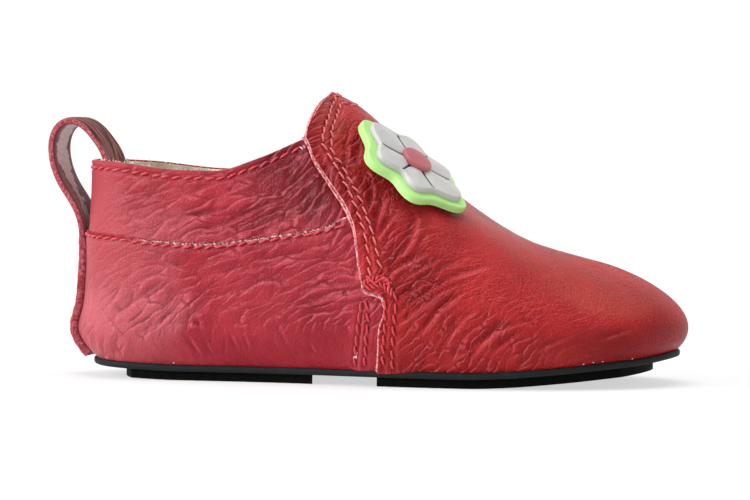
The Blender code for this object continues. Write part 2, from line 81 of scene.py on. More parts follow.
def steady_curve(knots, values):
    """Cubic curve that never overshoots."""
    gaps = np.diff(knots)
    slopes = np.diff(values) / gaps
    turns = slopes[:-1] * slopes[1:] <= 0
    mean = 2 * slopes[:-1] * slopes[1:] / np.where(turns, 1, slopes[:-1] + slopes[1:])
    leans = np.concatenate([slopes[:1], np.where(turns, 0, mean), slopes[-1:]])

    def at(place):
        i = np.clip(np.searchsorted(knots, place) - 1, 0, len(gaps) - 1)
        u = np.clip((place - knots[i]) / gaps[i], 0, 1)
        straight = values[i] + u * u * (3 - 2 * u) * (values[i + 1] - values[i])
        return straight + gaps[i] * u * (1 - u) * ((1 - u) * leans[i] - u * leans[i + 1])

    return at


def ring_curve(rows, outer, inner, outer_sign=1.0):
    """Closed curve from the toe along the outer side to the heel and back along the inner side."""
    places = np.concatenate([-rows["round"][:0:-1], rows["round"]])
    values = np.concatenate([outer_sign * rows[outer][:0:-1], rows[inner]])
    places = np.concatenate([places[:-1] - 2, places, places[1:] + 2])
    return smooth_curve(places, np.concatenate([values[:-1], values, values[1:]]))


def curves_of(rows, along):
    return {name: steady_curve(rows[along], rows[name]) for name in rows if name != along}


def soft_step(value):
    value = np.clip(value, 0, 1)
    return value * value * (3 - 2 * value)


# %% [markdown]
# ## The last
# These tables are the shape of the foot: how the sole lifts at heel and toe, where the upper meets the sole, the
# collar, the edge of the tongue and the ridge of the instep. The upper could be sculpted by hand, but a drawn
# surface can be measured and drawn again finer. "Round" runs from 0 at the heel to 1 at the toe, and "rise" from
# 0 at the sole to 1 at the top. Every seam and fold below is placed in these two numbers.

# %% Sections of the last, in millimetres
SPRING = table(
    "x rise",
    (-2, 1.1), (8, 0.55), (16, 0.25), (26, 0), (92, 0), (100, 0.3), (110, 1.1), (120, 2.1), (128, 3), (138, 5))
SOLE_LINE = table(
    "round x outer inner",
    (0, 3.6, 0, 0), (0.07, 6, 9.6, 9.6), (0.15, 13.6, 16.4, 16.2), (0.25, 31, 18.8, 18), (0.36, 51, 20.4, 18.2),
    (0.47, 69.5, 24.2, 22.4), (0.58, 85.5, 26.6, 26), (0.68, 99, 26.6, 27.4), (0.78, 112, 24, 25.6),
    (0.87, 123.2, 18, 20.4), (0.94, 130.2, 9.8, 12.6), (1, 133.4, -1.5, 1.5))
COLLAR = table(
    "round x half z",
    (0, 2.2, 0, 48.1), (0.07, 4.2, 8.8, 48), (0.15, 11.6, 15.8, 47.6), (0.25, 27, 19.6, 46), (0.31, 35, 20.3, 45.9),
    (0.38, 44, 20.8, 48.4), (0.47, 55, 21.2, 53))
TONGUE = table(
    "share x half z",
    (0, 55, 21.2, 53), (0.25, 55.5, 17.7, 56.9), (0.6, 56.2, 9.7, 61.2), (1, 56.6, 0, 63.3))
RIDGE = table(
    "share x side z",
    (0, 56.6, 0, 63.3), (0.1, 62.6, 0, 60), (0.2, 68.6, 0.1, 54.4), (0.3, 74.4, 0.2, 48.7), (0.4, 80.2, 0.3, 43.4),
    (0.5, 86.4, 0.4, 38.5), (0.6, 92.8, 0.5, 34.4), (0.7, 99, 0.7, 31.4), (0.8, 105, 0.9, 29.4),
    (0.9, 111, 1.2, 27.8), (1, 116.5, 1.5, 26.4))
RIBS = table(
    "round flare reach crown shoulder sweep",
    (0, 53, 9, 90, 22, 0), (0.07, 55, 9.6, 90, 20, 0), (0.15, 58, 12, 88, 16, 0), (0.25, 58, 14, 87, 14, 2),
    (0.36, 57, 16, 84, 14, 12), (0.47, 57, 16.5, 72, 15, 31), (0.5, 57, 17.5, 60, 15.5, 33),
    (0.525, 56, 18.5, 37, 16, 34), (0.55, 56, 19.5, 15, 17.5, 33), (0.58, 56, 20, 0, 18.5, 30),
    (0.64, 56, 20, 0, 15, 22), (0.7, 56, 19, 0, 11.5, 14), (0.76, 56, 17.5, 0, 9.5, 6), (0.82, 55, 16, 0, 9.5, 2),
    (0.88, 53, 15.2, 0, 12, 0), (0.94, 48, 13.2, 0, 13, 0), (1, 43, 11.4, 0, 10.5, 0))
VAMP_EDGE = table(
    "rise round",
    (0, 0.489), (0.18, 0.51), (0.255, 0.527), (0.275, 0.527), (0.335, 0.504), (0.4, 0.507), (0.475, 0.513),
    (0.525, 0.516), (0.59, 0.514), (0.68, 0.506), (0.78, 0.496), (0.87, 0.486), (0.95, 0.48), (1, 0.47))
SEAM = table(
    "round z",
    (0, 32.6), (0.09, 31.8), (0.165, 31.2), (0.21, 30.3), (0.28, 29.8), (0.35, 30.9), (0.43, 32.8), (0.515, 35),
    (1, 35))
VAMP_CORNER, PEAK, RIDGE_EASE = 0.47, 0.58, 0.10   # rounds of the collar's front corner and the tongue's peak
UPPER_FOOT, RIM_WIDTH, WALL, GAP = 3.5, 2.4, 1.8, 0.3
HEEL_SWELL, HEEL_SWELL_HEIGHT, HEEL_SWELL_SPREAD = 2.0, 10.0, 4.5
HEEL_SWELL_ROUND, HEEL_SWELL_START = 0.12, 0.06
SIDES = (-1, "outer"), (1, "inner")

spring = steady_curve(SPRING["x"], SPRING["rise"])
sole_x = ring_curve(SOLE_LINE, "x", "x")
sole_y = ring_curve(SOLE_LINE, "outer", "inner", outer_sign=-1.0)
collar, ribs = curves_of(COLLAR, "round"), curves_of(RIBS, "round")
tongue, ridge = curves_of(TONGUE, "share"), curves_of(RIDGE, "share")
vamp_edge = steady_curve(VAMP_EDGE["rise"], VAMP_EDGE["round"])
seam_height = steady_curve(SEAM["round"], SEAM["z"])
print("sole line from", float(sole_x(0.0)), "to", float(sole_x(1.0)), "mm")


# %% The skin of the last
def wrapped(around):
    return (np.asarray(around, float) + 1) % 2 - 1


def joined(*parts):
    return np.stack(np.broadcast_arrays(*parts), -1)


def unit(vectors):
    return vectors / np.linalg.norm(vectors, axis=-1, keepdims=True)


def outward(around, nudge=1e-3):
    along_x = sole_x(around + nudge) - sole_x(around - nudge)
    along_y = sole_y(around + nudge) - sole_y(around - nudge)
    return unit(joined(-along_y, along_x, 0.0))


def sole_point(around, outset=0.0, height=0.0):
    around = wrapped(around)
    point = joined(sole_x(around), sole_y(around), 0.0) + np.asarray(outset)[..., None] * outward(around)
    point[..., 2] = spring(point[..., 0]) + height
    return point


def ridge_share(far):
    gone = np.clip((far - PEAK) / (1 - PEAK), 0, 1)
    return gone ** 2 * (1 + RIDGE_EASE) / (gone + RIDGE_EASE)


def top_point(around):
    around = wrapped(around)
    side, far = np.sign(around), np.abs(around)
    passed = soft_step((far - VAMP_CORNER) / (PEAK - VAMP_CORNER))

    def pick(name, ridge_name, sign):
        behind = np.where(far <= VAMP_CORNER, collar[name](far), tongue[name](passed)) * sign
        return np.where(far <= PEAK, behind, ridge[ridge_name](ridge_share(far)))

    return joined(pick("x", "x", 1), pick("half", "side", side), pick("z", "z", 1))


def ridge_slope(around, nudge=4e-3):
    share = np.clip(ridge_share(np.abs(wrapped(around))), nudge, 0.96)
    drop = ridge["z"](share + nudge) - ridge["z"](share - nudge)
    return drop / (ridge["x"](share + nudge) - ridge["x"](share - nudge))


def upper_point(around, rise):
    around, rise = np.broadcast_arrays(wrapped(around), np.asarray(rise, float))
    far = np.abs(around)
    shape = {name: curve(far)[..., None] for name, curve in ribs.items()}
    flare, crown, sweep = (np.radians(shape[name]) for name in ("flare", "crown", "sweep"))
    out, up, ahead = outward(around), np.array([0.0, 0.0, 1.0]), np.array([1.0, 0.0, 0.0])
    foot, top = sole_point(around, height=UPPER_FOOT), top_point(around)
    lower = foot + shape["reach"] * (np.cos(flare) * out + np.sin(flare) * up)
    level = np.cos(sweep) * np.cos(crown) * out + np.sin(sweep) * ahead
    fall = -np.cos(sweep) * np.sin(crown) + (ridge_slope(around) * level[..., 0])[..., None]
    upper = top + shape["shoulder"] * unit(level + fall * up)
    t = rise[..., None]
    point = (1 - t) ** 3 * foot + 3 * t * (1 - t) ** 2 * lower + 3 * t * t * (1 - t) * upper + t ** 3 * top
    above = (point[..., 2] - HEEL_SWELL_HEIGHT) / HEEL_SWELL_SPREAD
    swell = np.exp(-above ** 2 - (far / HEEL_SWELL_ROUND) ** 2) * soft_step(rise / HEEL_SWELL_START)
    return point + HEEL_SWELL * swell[..., None] * out


def upper_normal(around, rise, nudge=2e-3):
    around, rise = np.broadcast_arrays(np.asarray(around, float), np.asarray(rise, float))
    low, high = np.clip(rise - nudge, 0, 1), np.clip(rise + nudge, 0, 1)
    along = upper_point(around + nudge, rise) - upper_point(around - nudge, rise)
    climb = upper_point(around, high) - upper_point(around, low)
    on_ridge = (np.abs(wrapped(around)) >= PEAK - 1e-6) & (rise > 1 - 1e-6)
    return unit(np.where(on_ridge[..., None], joined(-ridge_slope(around), 0.0, 1.0), np.cross(climb, along)))


def skin_at(around, rise):
    return upper_point(around, rise), upper_normal(around, rise)


def rise_at_height(around, height):
    steps = np.linspace(0, 1, 241)
    rows = upper_point(np.asarray(around)[..., None], steps)[..., 2]
    levels = np.broadcast_to(height, len(rows))
    return np.array([np.interp(level, row, steps) for level, row in zip(levels, rows)])


top = upper_point(np.array([0.0, VAMP_CORNER, PEAK]), 1.0)
print("collar at the heel, its front corner and the peak:", np.round(top[:, 2], 1), "mm high")

# %% [markdown]
# ## Camera
# The photograph looks at the outer side, a little from the front and almost level with the floor, through a long
# lens. The camera stands at that angle, and its lens follows from the distance and from how many pixels a
# millimetre takes.

# %% Camera
AZIMUTH, ELEVATION, ROLL = np.radians([12.0, 2.0, 0.3])
DISTANCE, LOOK_AT = 800.0, np.array([66.5, 0.0, 28.4])
PIXELS_PER_MM, FRAME_WIDTH, SENSOR = 4.53, 750, 36.0


def placed(name, data):
    """Object in the scene."""
    made = bpy.data.objects.new(name, data)
    bpy.context.scene.collection.objects.link(made)
    return made


back = Vector((np.sin(AZIMUTH) * np.cos(ELEVATION), -np.cos(AZIMUTH) * np.cos(ELEVATION), np.sin(ELEVATION)))
right = Vector((np.cos(AZIMUTH), np.sin(AZIMUTH), 0.0))
up = back.cross(right)
right, up = right * np.cos(ROLL) + up * np.sin(ROLL), up * np.cos(ROLL) - right * np.sin(ROLL)
lens = bpy.data.cameras.new("photo_camera")
lens.sensor_width = SENSOR
lens.lens = PIXELS_PER_MM * DISTANCE * SENSOR / FRAME_WIDTH
lens.clip_end = 50   # metres
stand = Vector((LOOK_AT + SHOE_TO_FRAME) * MM) + back * DISTANCE * MM
camera = placed("photo_camera", lens)
camera.matrix_world = Matrix.Translation(stand) @ Matrix((right, up, back)).transposed().to_4x4()
bpy.context.scene.camera = camera
print("lens", round(lens.lens), "mm")

# %% [markdown]
# ## Studio
# The shoe stands in a wide shallow bowl, pale all over, so that no horizon shows from any side. The bowl glows,
# as a light table does, which keeps the shadow under the sole pale. A soft light stands to the front on the
# heel's side, low enough for its sheen to lie on the heel's quarter. A wide light overhead brightens the floor
# and the top of the toe, and a third one only lights the backdrop.

# %% Floor and lights
def turns(count):
    """Angles round a full turn."""
    return np.linspace(0, 2 * np.pi, count, endpoint=False)


def numbered(rows, columns):
    return np.arange(rows * columns).reshape(rows, columns)


def ringed(numbers):
    """Grid whose last column is its first one again, so that it closes."""
    return np.concatenate([numbers, numbers[:, :1]], axis=1)


def grid_faces(numbers):
    a, b, c, d = numbers[:-1, :-1], numbers[1:, :-1], numbers[1:, 1:], numbers[:-1, 1:]
    return np.stack([a, b, c, d], -1).reshape(-1, 4)


def stage_bowl(radius=1.8, rise=1.2, flat_to=0.55, rings=24, spokes=96):
    angle, share = turns(spokes), np.linspace(0.05, 1, rings)[:, None]
    height = rise * np.clip((share - flat_to) / (1 - flat_to), 0, 1) ** 2.2
    points = joined(radius * share * np.cos(angle), radius * share * np.sin(angle), height).reshape(-1, 3)
    numbers = numbered(rings, spokes)
    mesh = bpy.data.meshes.new("studio_floor")
    mesh.from_pydata(points.tolist(), [], grid_faces(ringed(numbers)).tolist() + [numbers[0].tolist()])
    mesh.shade_smooth()
    return placed("studio_floor", mesh)


floor = stage_bowl()
paper = bpy.data.materials.new("pale_paper")
paper.use_nodes = True
for name, value in (("Base Color", (0.29, 0.29, 0.29, 1)), ("Roughness", 0.9), ("Emission Color", (1, 1, 1, 1)),
                    ("Emission Strength", 0.60)):
    paper.node_tree.nodes["Principled BSDF"].inputs[name].default_value = value
floor.data.materials.append(paper)

SHOE_MIDDLE = (0.0, 0.0, 0.025)
LIGHTS = (   # name, place and size in metres, power in watts, the point that it faces
    ("front_softbox", (-1.05, -0.62, 0.48), (0.8, 0.8), 16.5, SHOE_MIDDLE),
    ("top_softbox", (0.05, 0.0, 1.3), (1.0, 0.9), 14.0, SHOE_MIDDLE),
    ("backdrop_light", (0.0, 0.55, 1.25), (1.6, 0.3), 12.0, (0.0, 1.75, 0.55)))
for name, place, size, power, aim in LIGHTS:
    lamp = bpy.data.lights.new(name, "AREA")
    lamp.shape, lamp.size, lamp.size_y, lamp.energy = "RECTANGLE", *size, power
    light = placed(name, lamp)
    light.location = place
    light.rotation_euler = (Vector(aim) - Vector(place)).to_track_quat("-Z", "Y").to_euler()
world = bpy.data.worlds.new("studio_air")
world.use_nodes = True
world.node_tree.nodes["Background"].inputs["Color"].default_value = (1, 1, 1, 1)
world.node_tree.nodes["Background"].inputs["Strength"].default_value = 0.25
bpy.context.scene.world = world
bpy.context.scene.view_settings.view_transform = "Standard"
print("floor", len(floor.data.polygons), "faces")

# %% [markdown]
# ## Finishes
# Soft leather creases into long pillows that all lean one way. Each has a painted highlight on the lip at its upper
# end, painted shade at its lower end, and painted shade in the gully between it and the next. Finer pebbles and
# pores lie on top. A painted picture could show all this, but a pattern of nodes has no joints and stays sharp
# close by. The pillows are stretched cells of a pattern, laid in four directions. How much each direction counts,
# how high the leather climbs, how deep it folds and where a painted sheen and painted shade lie come as values
# stored on the points of the mesh.

# %% A helper for finishes
class Finish:
    """A procedural material whose patterns are measured in millimetres."""

    def __init__(self, name, colour, roughness):
        self.material = bpy.data.materials.new(name)
        self.material.use_nodes = True
        self.tree = self.material.node_tree
        self.shader = self.tree.nodes["Principled BSDF"]
        self.set(**{"Base Color": (*colour, 1.0), "Roughness": roughness})
        place = self.tree.nodes.new("ShaderNodeTexCoord").outputs["Object"]
        self.place = self.vector("SCALE", place, 1 / MM)

    def set(self, **values):
        for name, value in values.items():
            self.shader.inputs[name.replace("_", " ")].default_value = value

    def node(self, kind, inputs=None, **settings):
        made = self.tree.nodes.new("ShaderNode" + kind)
        for name, value in settings.items():
            setattr(made, name, value)
        for key, value in (inputs or {}).items():
            if isinstance(value, bpy.types.NodeSocket):
                self.tree.links.new(value, made.inputs[key])
            else:
                made.inputs[key].default_value = value
        return made

    def noise(self, scale, detail=3.0, place=None, rough=0.5):
        return self.node("TexNoise", {"Vector": place or self.place, "Scale": scale, "Detail": detail,
                                      "Roughness": rough}).outputs["Fac"]

    def cells(self, scale, place, **settings):
        return self.node("TexVoronoi", {"Vector": place, "Scale": scale}, **settings).outputs

    def math(self, operation, *values):
        return self.node("Math", dict(enumerate(values)), operation=operation).outputs[0]

    def vector(self, operation, first, second):
        return self.node("VectorMath", {0: first, 3 if operation == "SCALE" else 1: second},
                         operation=operation).outputs[0]

    def axis(self, vector, number):
        return self.node("SeparateXYZ", {0: vector}).outputs[number]

    def band(self, value, low, high, to_low=0.0, to_high=1.0):
        return self.node("MapRange", {0: value, 1: low, 2: high, 3: to_low, 4: to_high},
                         interpolation_type="SMOOTHSTEP").outputs[0]

    def sum(self, *terms):
        total = None
        for value, weight in terms:
            scaled = self.product(value, weight)
            total = scaled if total is None else self.math("ADD", total, scaled)
        return total

    def product(self, first, second):
        return self.math("MULTIPLY", first, second)

    def blend(self, share, first, second):
        made = self.node("Mix", {0: share}, data_type="RGBA")
        for key, value in ((6, first), (7, second)):
            if isinstance(value, bpy.types.NodeSocket):
                self.tree.links.new(value, made.inputs[key])
            else:
                made.inputs[key].default_value = (*value, 1.0)
        return made.outputs[2]

    def value_on_points(self, name):
        return self.node("Attribute", attribute_name=name).outputs["Fac"]

    def warp(self, scale, amount, place=None):
        place = place or self.place
        shake = self.node("TexNoise", {"Vector": place, "Scale": scale, "Detail": 1.0}).outputs["Color"]
        shake = self.vector("SUBTRACT", shake, (0.5, 0.5, 0.5))
        return self.vector("ADD", place, self.vector("SCALE", shake, amount))

    def finish(self, colour=None, height=None, depth_mm=0.2, strength=1.0, roughness=None):
        if colour is not None:
            self.tree.links.new(colour, self.shader.inputs["Base Color"])
        if roughness is not None:
            self.tree.links.new(roughness, self.shader.inputs["Roughness"])
        if height is not None:
            bump = self.node("Bump", {"Height": height, "Strength": strength, "Distance": depth_mm * MM})
            self.tree.links.new(bump.outputs[0], self.shader.inputs["Normal"])
        return self.material


# %% Leather, cut edges, thread, fleece, rubber
LIES = {"lie_22": 22, "lie_46": 46, "lie_76": 76, "lie_113": 113}   # ways that fine creases run, in degrees
UPRIGHT = 90            # creases that lean back beyond this get no painted highlight on their lip


def darker(colour, share):
    return tuple(share * part for part in colour)


def creased_leather(name, deep, light, painted_highlight_colour, painted_sheen, crease, lines, gloss, grain, depth_mm):
    """Leather whose creases part it into long pillows, with a painted highlight on each lip and painted shade at
    each lower end and in each gully. A crease has a length and a width, in millimetres.
    """
    leather = Finish(name, light, 0.4)
    leather.set(Specular_IOR_Level=gloss)
    fold, wear_and_painted_light, climb = (leather.value_on_points(label) for label in ("fold", "wear_and_painted_light", "climb"))
    flat = leather.node("CombineXYZ", {0: leather.axis(leather.place, 0), 1: climb}).outputs[0]
    flat = leather.warp(0.6, 0.7, leather.warp(0.09, 5.0, flat))
    broken = leather.band(leather.noise(0.2, 2.0, flat), 0.36, 0.56, 0.25, 1.0)
    heights, gullies, lips, lows = [], [], [], []
    for label, angle in LIES.items():
        turned = leather.node("VectorRotate", {"Vector": flat, "Angle": -np.radians(angle)},
                              rotation_type="Z_AXIS").outputs[0]
        cell = leather.vector("MULTIPLY", turned, (1 / crease[0], 1 / crease[1], 1.0))
        edge = leather.cells(1.0, cell, feature="DISTANCE_TO_EDGE", voronoi_dimensions="2D")["Distance"]
        middle = leather.cells(1.0, cell, feature="F1", voronoi_dimensions="2D")["Position"]
        across = leather.axis(leather.vector("SUBTRACT", cell, middle), 1)
        lean = leather.band(across, -0.5, 0.45)
        flank = leather.band(leather.math("ABSOLUTE", across), 0.05, 0.28)   # keeps a pillow's ends open
        share = leather.product(leather.value_on_points(label), broken)
        dip = leather.product(leather.band(edge, 0.0, 0.17, 1.0, 0.0), flank)
        pillow = leather.math("SUBTRACT", 1.0, dip)
        # lip marks where a pillow's painted highlight goes; gully and a pillow's low end mark painted shade
        lip = leather.product(leather.band(edge, 0.02, 0.10), leather.band(edge, 0.08, 0.34, 1.0, 0.0))
        heights += [(leather.product(pillow, leather.sum((lean, 0.75), (pillow, 0.25))), share)]
        gullies += [(leather.product(leather.band(edge, 0.0, 0.09, 1.0, 0.0), flank), share)]
        lows += [(leather.band(lean, 0.0, 0.6, 1.0, 0.0), share)]
        if angle < UPRIGHT:
            lips += [(leather.product(lip, leather.band(lean, 0.5, 0.85)), share)]
    height, gully, lip, low = (leather.sum(*terms) for terms in (heights, gullies, lips, lows))
    pebbles = leather.cells(1.3, leather.warp(0.8, 0.7), feature="DISTANCE_TO_EDGE")["Distance"]
    pores, cloud = leather.noise(4.0, 4.0), leather.noise(0.06, 3.0)
    colour = leather.blend(leather.band(cloud, 0.3, 0.7), deep, light)
    for value, low_end, high_end, least, most, dye in (
            # painted shade where the stored field is below zero, painted sheen where it is above
            (wear_and_painted_light, 0.0, -0.5, 0.0, 1.0, darker(deep, 0.4)), (wear_and_painted_light, 0.0, 0.5, 0.0, 1.0, painted_sheen),
            # painted shade at each pillow's lower end and in its gullies
            (low, 0.0, 1.0, 0.0, 0.35, darker(deep, 0.5)), (gully, 0.0, 1.0, 0.0, 1.3 * lines, darker(deep, 0.4)),
            # painted shade in fold troughs and a painted highlight on fold lips
            (fold, -0.35, -0.03, 0.5, 0.0, darker(deep, 0.4)), (fold, 0.03, 0.16, 0.0, 0.28, painted_highlight_colour),
            # painted highlight on each pillow's lip
            (lip, 0.0, 0.8, 0.0, lines, painted_highlight_colour)):
        colour = leather.blend(leather.band(value, low_end, high_end, least, most), colour, dye)
    height = leather.sum((height, 1.0), (leather.band(pebbles, 0.0, 0.3), grain), (pores, grain))
    rough = leather.band(leather.sum((pores, 0.5), (cloud, 0.5)), 0.3, 0.7, 0.30, 0.42)
    return leather.finish(colour, height, depth_mm, 1.0, rough)


def cut_leather(name, dark, pale, low=0.35, high=0.65, frayed_from=-90.0):
    """Cut side of leather, mottled. Behind a given place along the shoe it keeps the dark colour."""
    edge = Finish(name, pale, 0.85)
    edge.set(Specular_IOR_Level=0.2)
    fibre = edge.noise(1.6, 5.0, rough=0.7)
    frayed = edge.band(edge.axis(edge.place, 0), frayed_from, frayed_from + 16.0)
    share = edge.product(edge.band(fibre, low, high), frayed)
    return edge.finish(edge.blend(share, dark, pale), fibre, 0.3, 1.0)


def sewing_thread(name, colour):
    thread = Finish(name, colour, 0.45)
    thread.set(Sheen_Weight=0.2, Sheen_Roughness=0.4)
    strand = thread.noise(7.0, 2.0)
    shade = thread.blend(thread.band(strand, 0.3, 0.7), darker(colour, 0.6), colour)
    return thread.finish(shade, strand, 0.06, 0.7)


def wool_fleece(name, light, shadow):
    fleece = Finish(name, light, 0.95)
    fleece.set(Sheen_Weight=0.35, Sheen_Roughness=0.6)
    curl = fleece.noise(1.6, 5.0, fleece.warp(0.9, 1.6), 0.65)
    clump = fleece.noise(0.28, 2.0)
    shade = fleece.blend(fleece.band(fleece.sum((curl, 0.6), (clump, 0.4)), 0.35, 0.65), shadow, light)
    return fleece.finish(shade, curl, 0.22, 0.8)


def matt_rubber(name, colour, speckle, rough=0.6, gloss=0.25):
    rubber = Finish(name, colour, rough)
    rubber.set(Specular_IOR_Level=gloss)
    dust = rubber.noise(0.5, 5.0, rough=0.65)
    grain = rubber.noise(6.0, 3.0)
    shade = rubber.blend(rubber.band(dust, 0.45, 0.75, 0.0, 0.55), colour, speckle)
    return rubber.finish(shade, grain, 0.05, 0.5, rubber.band(dust, 0.3, 0.7, rough - 0.08, rough + 0.1))


# the sheen colour and the lip colour given here are painted light laid over the leather's own tones
VAMP_RED = creased_leather(
    "vamp_leather", deep=(0.285, 0.008, 0.011), light=(0.415, 0.019, 0.020), painted_highlight_colour=(0.66, 0.11, 0.13),
    painted_sheen=(0.55, 0.10, 0.062), crease=(5.5, 1.75), lines=0.44, gloss=0.13, grain=0.19, depth_mm=0.50)
QUARTER_RED = creased_leather(
    "quarter_leather", deep=(0.26, 0.008, 0.017), light=(0.37, 0.022, 0.038), painted_highlight_colour=(0.64, 0.12, 0.15),
    painted_sheen=(0.57, 0.13, 0.155), crease=(9.5, 2.5), lines=0.45, gloss=0.18, grain=0.13, depth_mm=0.44)
CUT_PINK = cut_leather("cut_edge_pink", (0.42, 0.06, 0.07), (0.84, 0.44, 0.44), 0.38, 0.62)
CUT_PALE = cut_leather("cut_edge_pale", (0.30, 0.02, 0.03), (0.80, 0.55, 0.53), 0.46, 0.58, -54.0)
CUT_STRAP = cut_leather("cut_edge_strap", (0.30, 0.025, 0.045), (0.60, 0.22, 0.24), 0.40, 0.70)
RED_THREAD = sewing_thread("red_thread", (0.72, 0.04, 0.06))
# A paler copy of the red thread, painted as a highlight on the vamp's rows.
PAINTED_HIGHLIGHT_THREAD = sewing_thread("red_thread_painted_highlight", (0.80, 0.15, 0.16))
PALE_THREAD = sewing_thread("pale_thread", (0.93, 0.84, 0.80))
FLEECE = wool_fleece("cream_fleece", (0.94, 0.86, 0.74), (0.74, 0.64, 0.50))
SOLE_GREY = matt_rubber("grey_sole_rubber", (0.008, 0.009, 0.010), (0.022, 0.024, 0.026), 0.65, 0.18)
PAD_BLACK = matt_rubber("black_tread_rubber", (0.0015, 0.0015, 0.0015), (0.004, 0.004, 0.004), 0.75, 0.06)
print("finishes", len(bpy.data.materials))

# %% [markdown]
# ## Folds
# Soft leather folds where it is squeezed: slanting folds run from the collar's dip to the vamp, a fan opens from
# the knot where vamp and quarter meet, and short wrinkles cross the ball. The long folds are placed one by one
# from the photograph. Between them lie hundreds of short ones, strewn with a fixed seed, that follow the lie of
# the long ones. A fold is a trough with one steep wall and a low lip, pressed into the mesh itself, so it holds
# from every side.

# %% Long folds on the outer side: three places each, then depth and width in millimetres
FOLDS = table(
    "r1 h1 r2 h2 r3 h3 depth width",
    (0.254, 0.654, 0.33, 0.743, 0.441, 0.789, 0.34, 0.55), (0.28, 0.671, 0.374, 0.704, 0.423, 0.768, 0.34, 0.55),
    (0.33, 0.664, 0.397, 0.704, 0.454, 0.739, 0.38, 0.6), (0.361, 0.65, 0.417, 0.7, 0.451, 0.711, 0.34, 0.55),
    (0.21, 0.768, 0.256, 0.768, 0.319, 0.807, 0.24, 0.5), (0.173, 0.861, 0.207, 0.854, 0.246, 0.857, 0.2, 0.45),
    (0.271, 0.893, 0.291, 0.918, 0.311, 0.939, 0.24, 0.5), (0.239, 0.725, 0.287, 0.786, 0.334, 0.804, 0.26, 0.5),
    (0.404, 0.757, 0.426, 0.8, 0.454, 0.825, 0.36, 0.6), (0.43, 0.671, 0.463, 0.704, 0.495, 0.69, 0.42, 0.7),
    (0.316, 0.875, 0.347, 0.896, 0.386, 0.896, 0.24, 0.5), (0.269, 0.514, 0.307, 0.571, 0.354, 0.593, 0.22, 0.5),
    (0.323, 0.489, 0.389, 0.514, 0.449, 0.546, 0.24, 0.5), (0.409, 0.364, 0.449, 0.389, 0.497, 0.375, 0.34, 0.55),
    (0.396, 0.307, 0.444, 0.339, 0.503, 0.339, 0.34, 0.55), (0.433, 0.425, 0.463, 0.425, 0.5, 0.414, 0.26, 0.5),
    (0.243, 0.225, 0.257, 0.239, 0.266, 0.214, 0.3, 0.5), (0.13, 0.321, 0.15, 0.225, 0.17, 0.136, 0.22, 0.4),
    (0.203, 0.218, 0.22, 0.268, 0.237, 0.318, 0.36, 0.6), (0.241, 0.193, 0.249, 0.111, 0.257, 0.039, 0.26, 0.5),
    (0.264, 0.154, 0.267, 0.096, 0.273, 0.046, 0.22, 0.45), (0.297, 0.182, 0.3, 0.136, 0.304, 0.075, 0.24, 0.45),
    (0.316, 0.182, 0.316, 0.129, 0.319, 0.089, 0.22, 0.45), (0.366, 0.214, 0.367, 0.157, 0.371, 0.111, 0.22, 0.45),
    (0.4, 0.139, 0.403, 0.096, 0.409, 0.057, 0.22, 0.45), (0.18, 0.346, 0.204, 0.414, 0.22, 0.45, 0.3, 0.6),
    (0.221, 0.571, 0.24, 0.532, 0.271, 0.496, 0.2, 0.45), (0.523, 0.714, 0.541, 0.725, 0.544, 0.789, 0.36, 0.6),
    (0.536, 0.668, 0.566, 0.693, 0.616, 0.757, 0.4, 0.65), (0.544, 0.532, 0.561, 0.557, 0.563, 0.593, 0.42, 0.6),
    (0.543, 0.457, 0.561, 0.5, 0.601, 0.546, 0.5, 0.7), (0.543, 0.446, 0.573, 0.468, 0.613, 0.507, 0.5, 0.7),
    (0.536, 0.361, 0.593, 0.396, 0.643, 0.514, 0.6, 0.8), (0.546, 0.343, 0.586, 0.357, 0.637, 0.396, 0.55, 0.75),
    (0.56, 0.311, 0.611, 0.343, 0.649, 0.379, 0.5, 0.7), (0.55, 0.254, 0.596, 0.293, 0.653, 0.346, 0.55, 0.7),
    (0.547, 0.225, 0.594, 0.268, 0.653, 0.318, 0.45, 0.65), (0.541, 0.189, 0.576, 0.221, 0.616, 0.261, 0.4, 0.6),
    (0.566, 0.136, 0.601, 0.204, 0.654, 0.271, 0.42, 0.6), (0.587, 0.104, 0.613, 0.157, 0.65, 0.221, 0.38, 0.55),
    (0.549, 0.264, 0.623, 0.329, 0.7, 0.414, 0.42, 0.65), (0.544, 0.214, 0.634, 0.307, 0.743, 0.429, 0.48, 0.7),
    (0.557, 0.211, 0.62, 0.271, 0.687, 0.332, 0.4, 0.6), (0.576, 0.154, 0.617, 0.225, 0.673, 0.3, 0.4, 0.6),
    (0.591, 0.079, 0.63, 0.171, 0.676, 0.236, 0.38, 0.55), (0.61, 0.064, 0.664, 0.129, 0.716, 0.214, 0.42, 0.6),
    (0.634, 0.05, 0.683, 0.15, 0.746, 0.214, 0.38, 0.55), (0.673, 0.082, 0.703, 0.129, 0.737, 0.182, 0.32, 0.5),
    (0.741, 0.086, 0.769, 0.121, 0.799, 0.154, 0.26, 0.5), (0.836, 0.129, 0.864, 0.168, 0.894, 0.2, 0.2, 0.5))

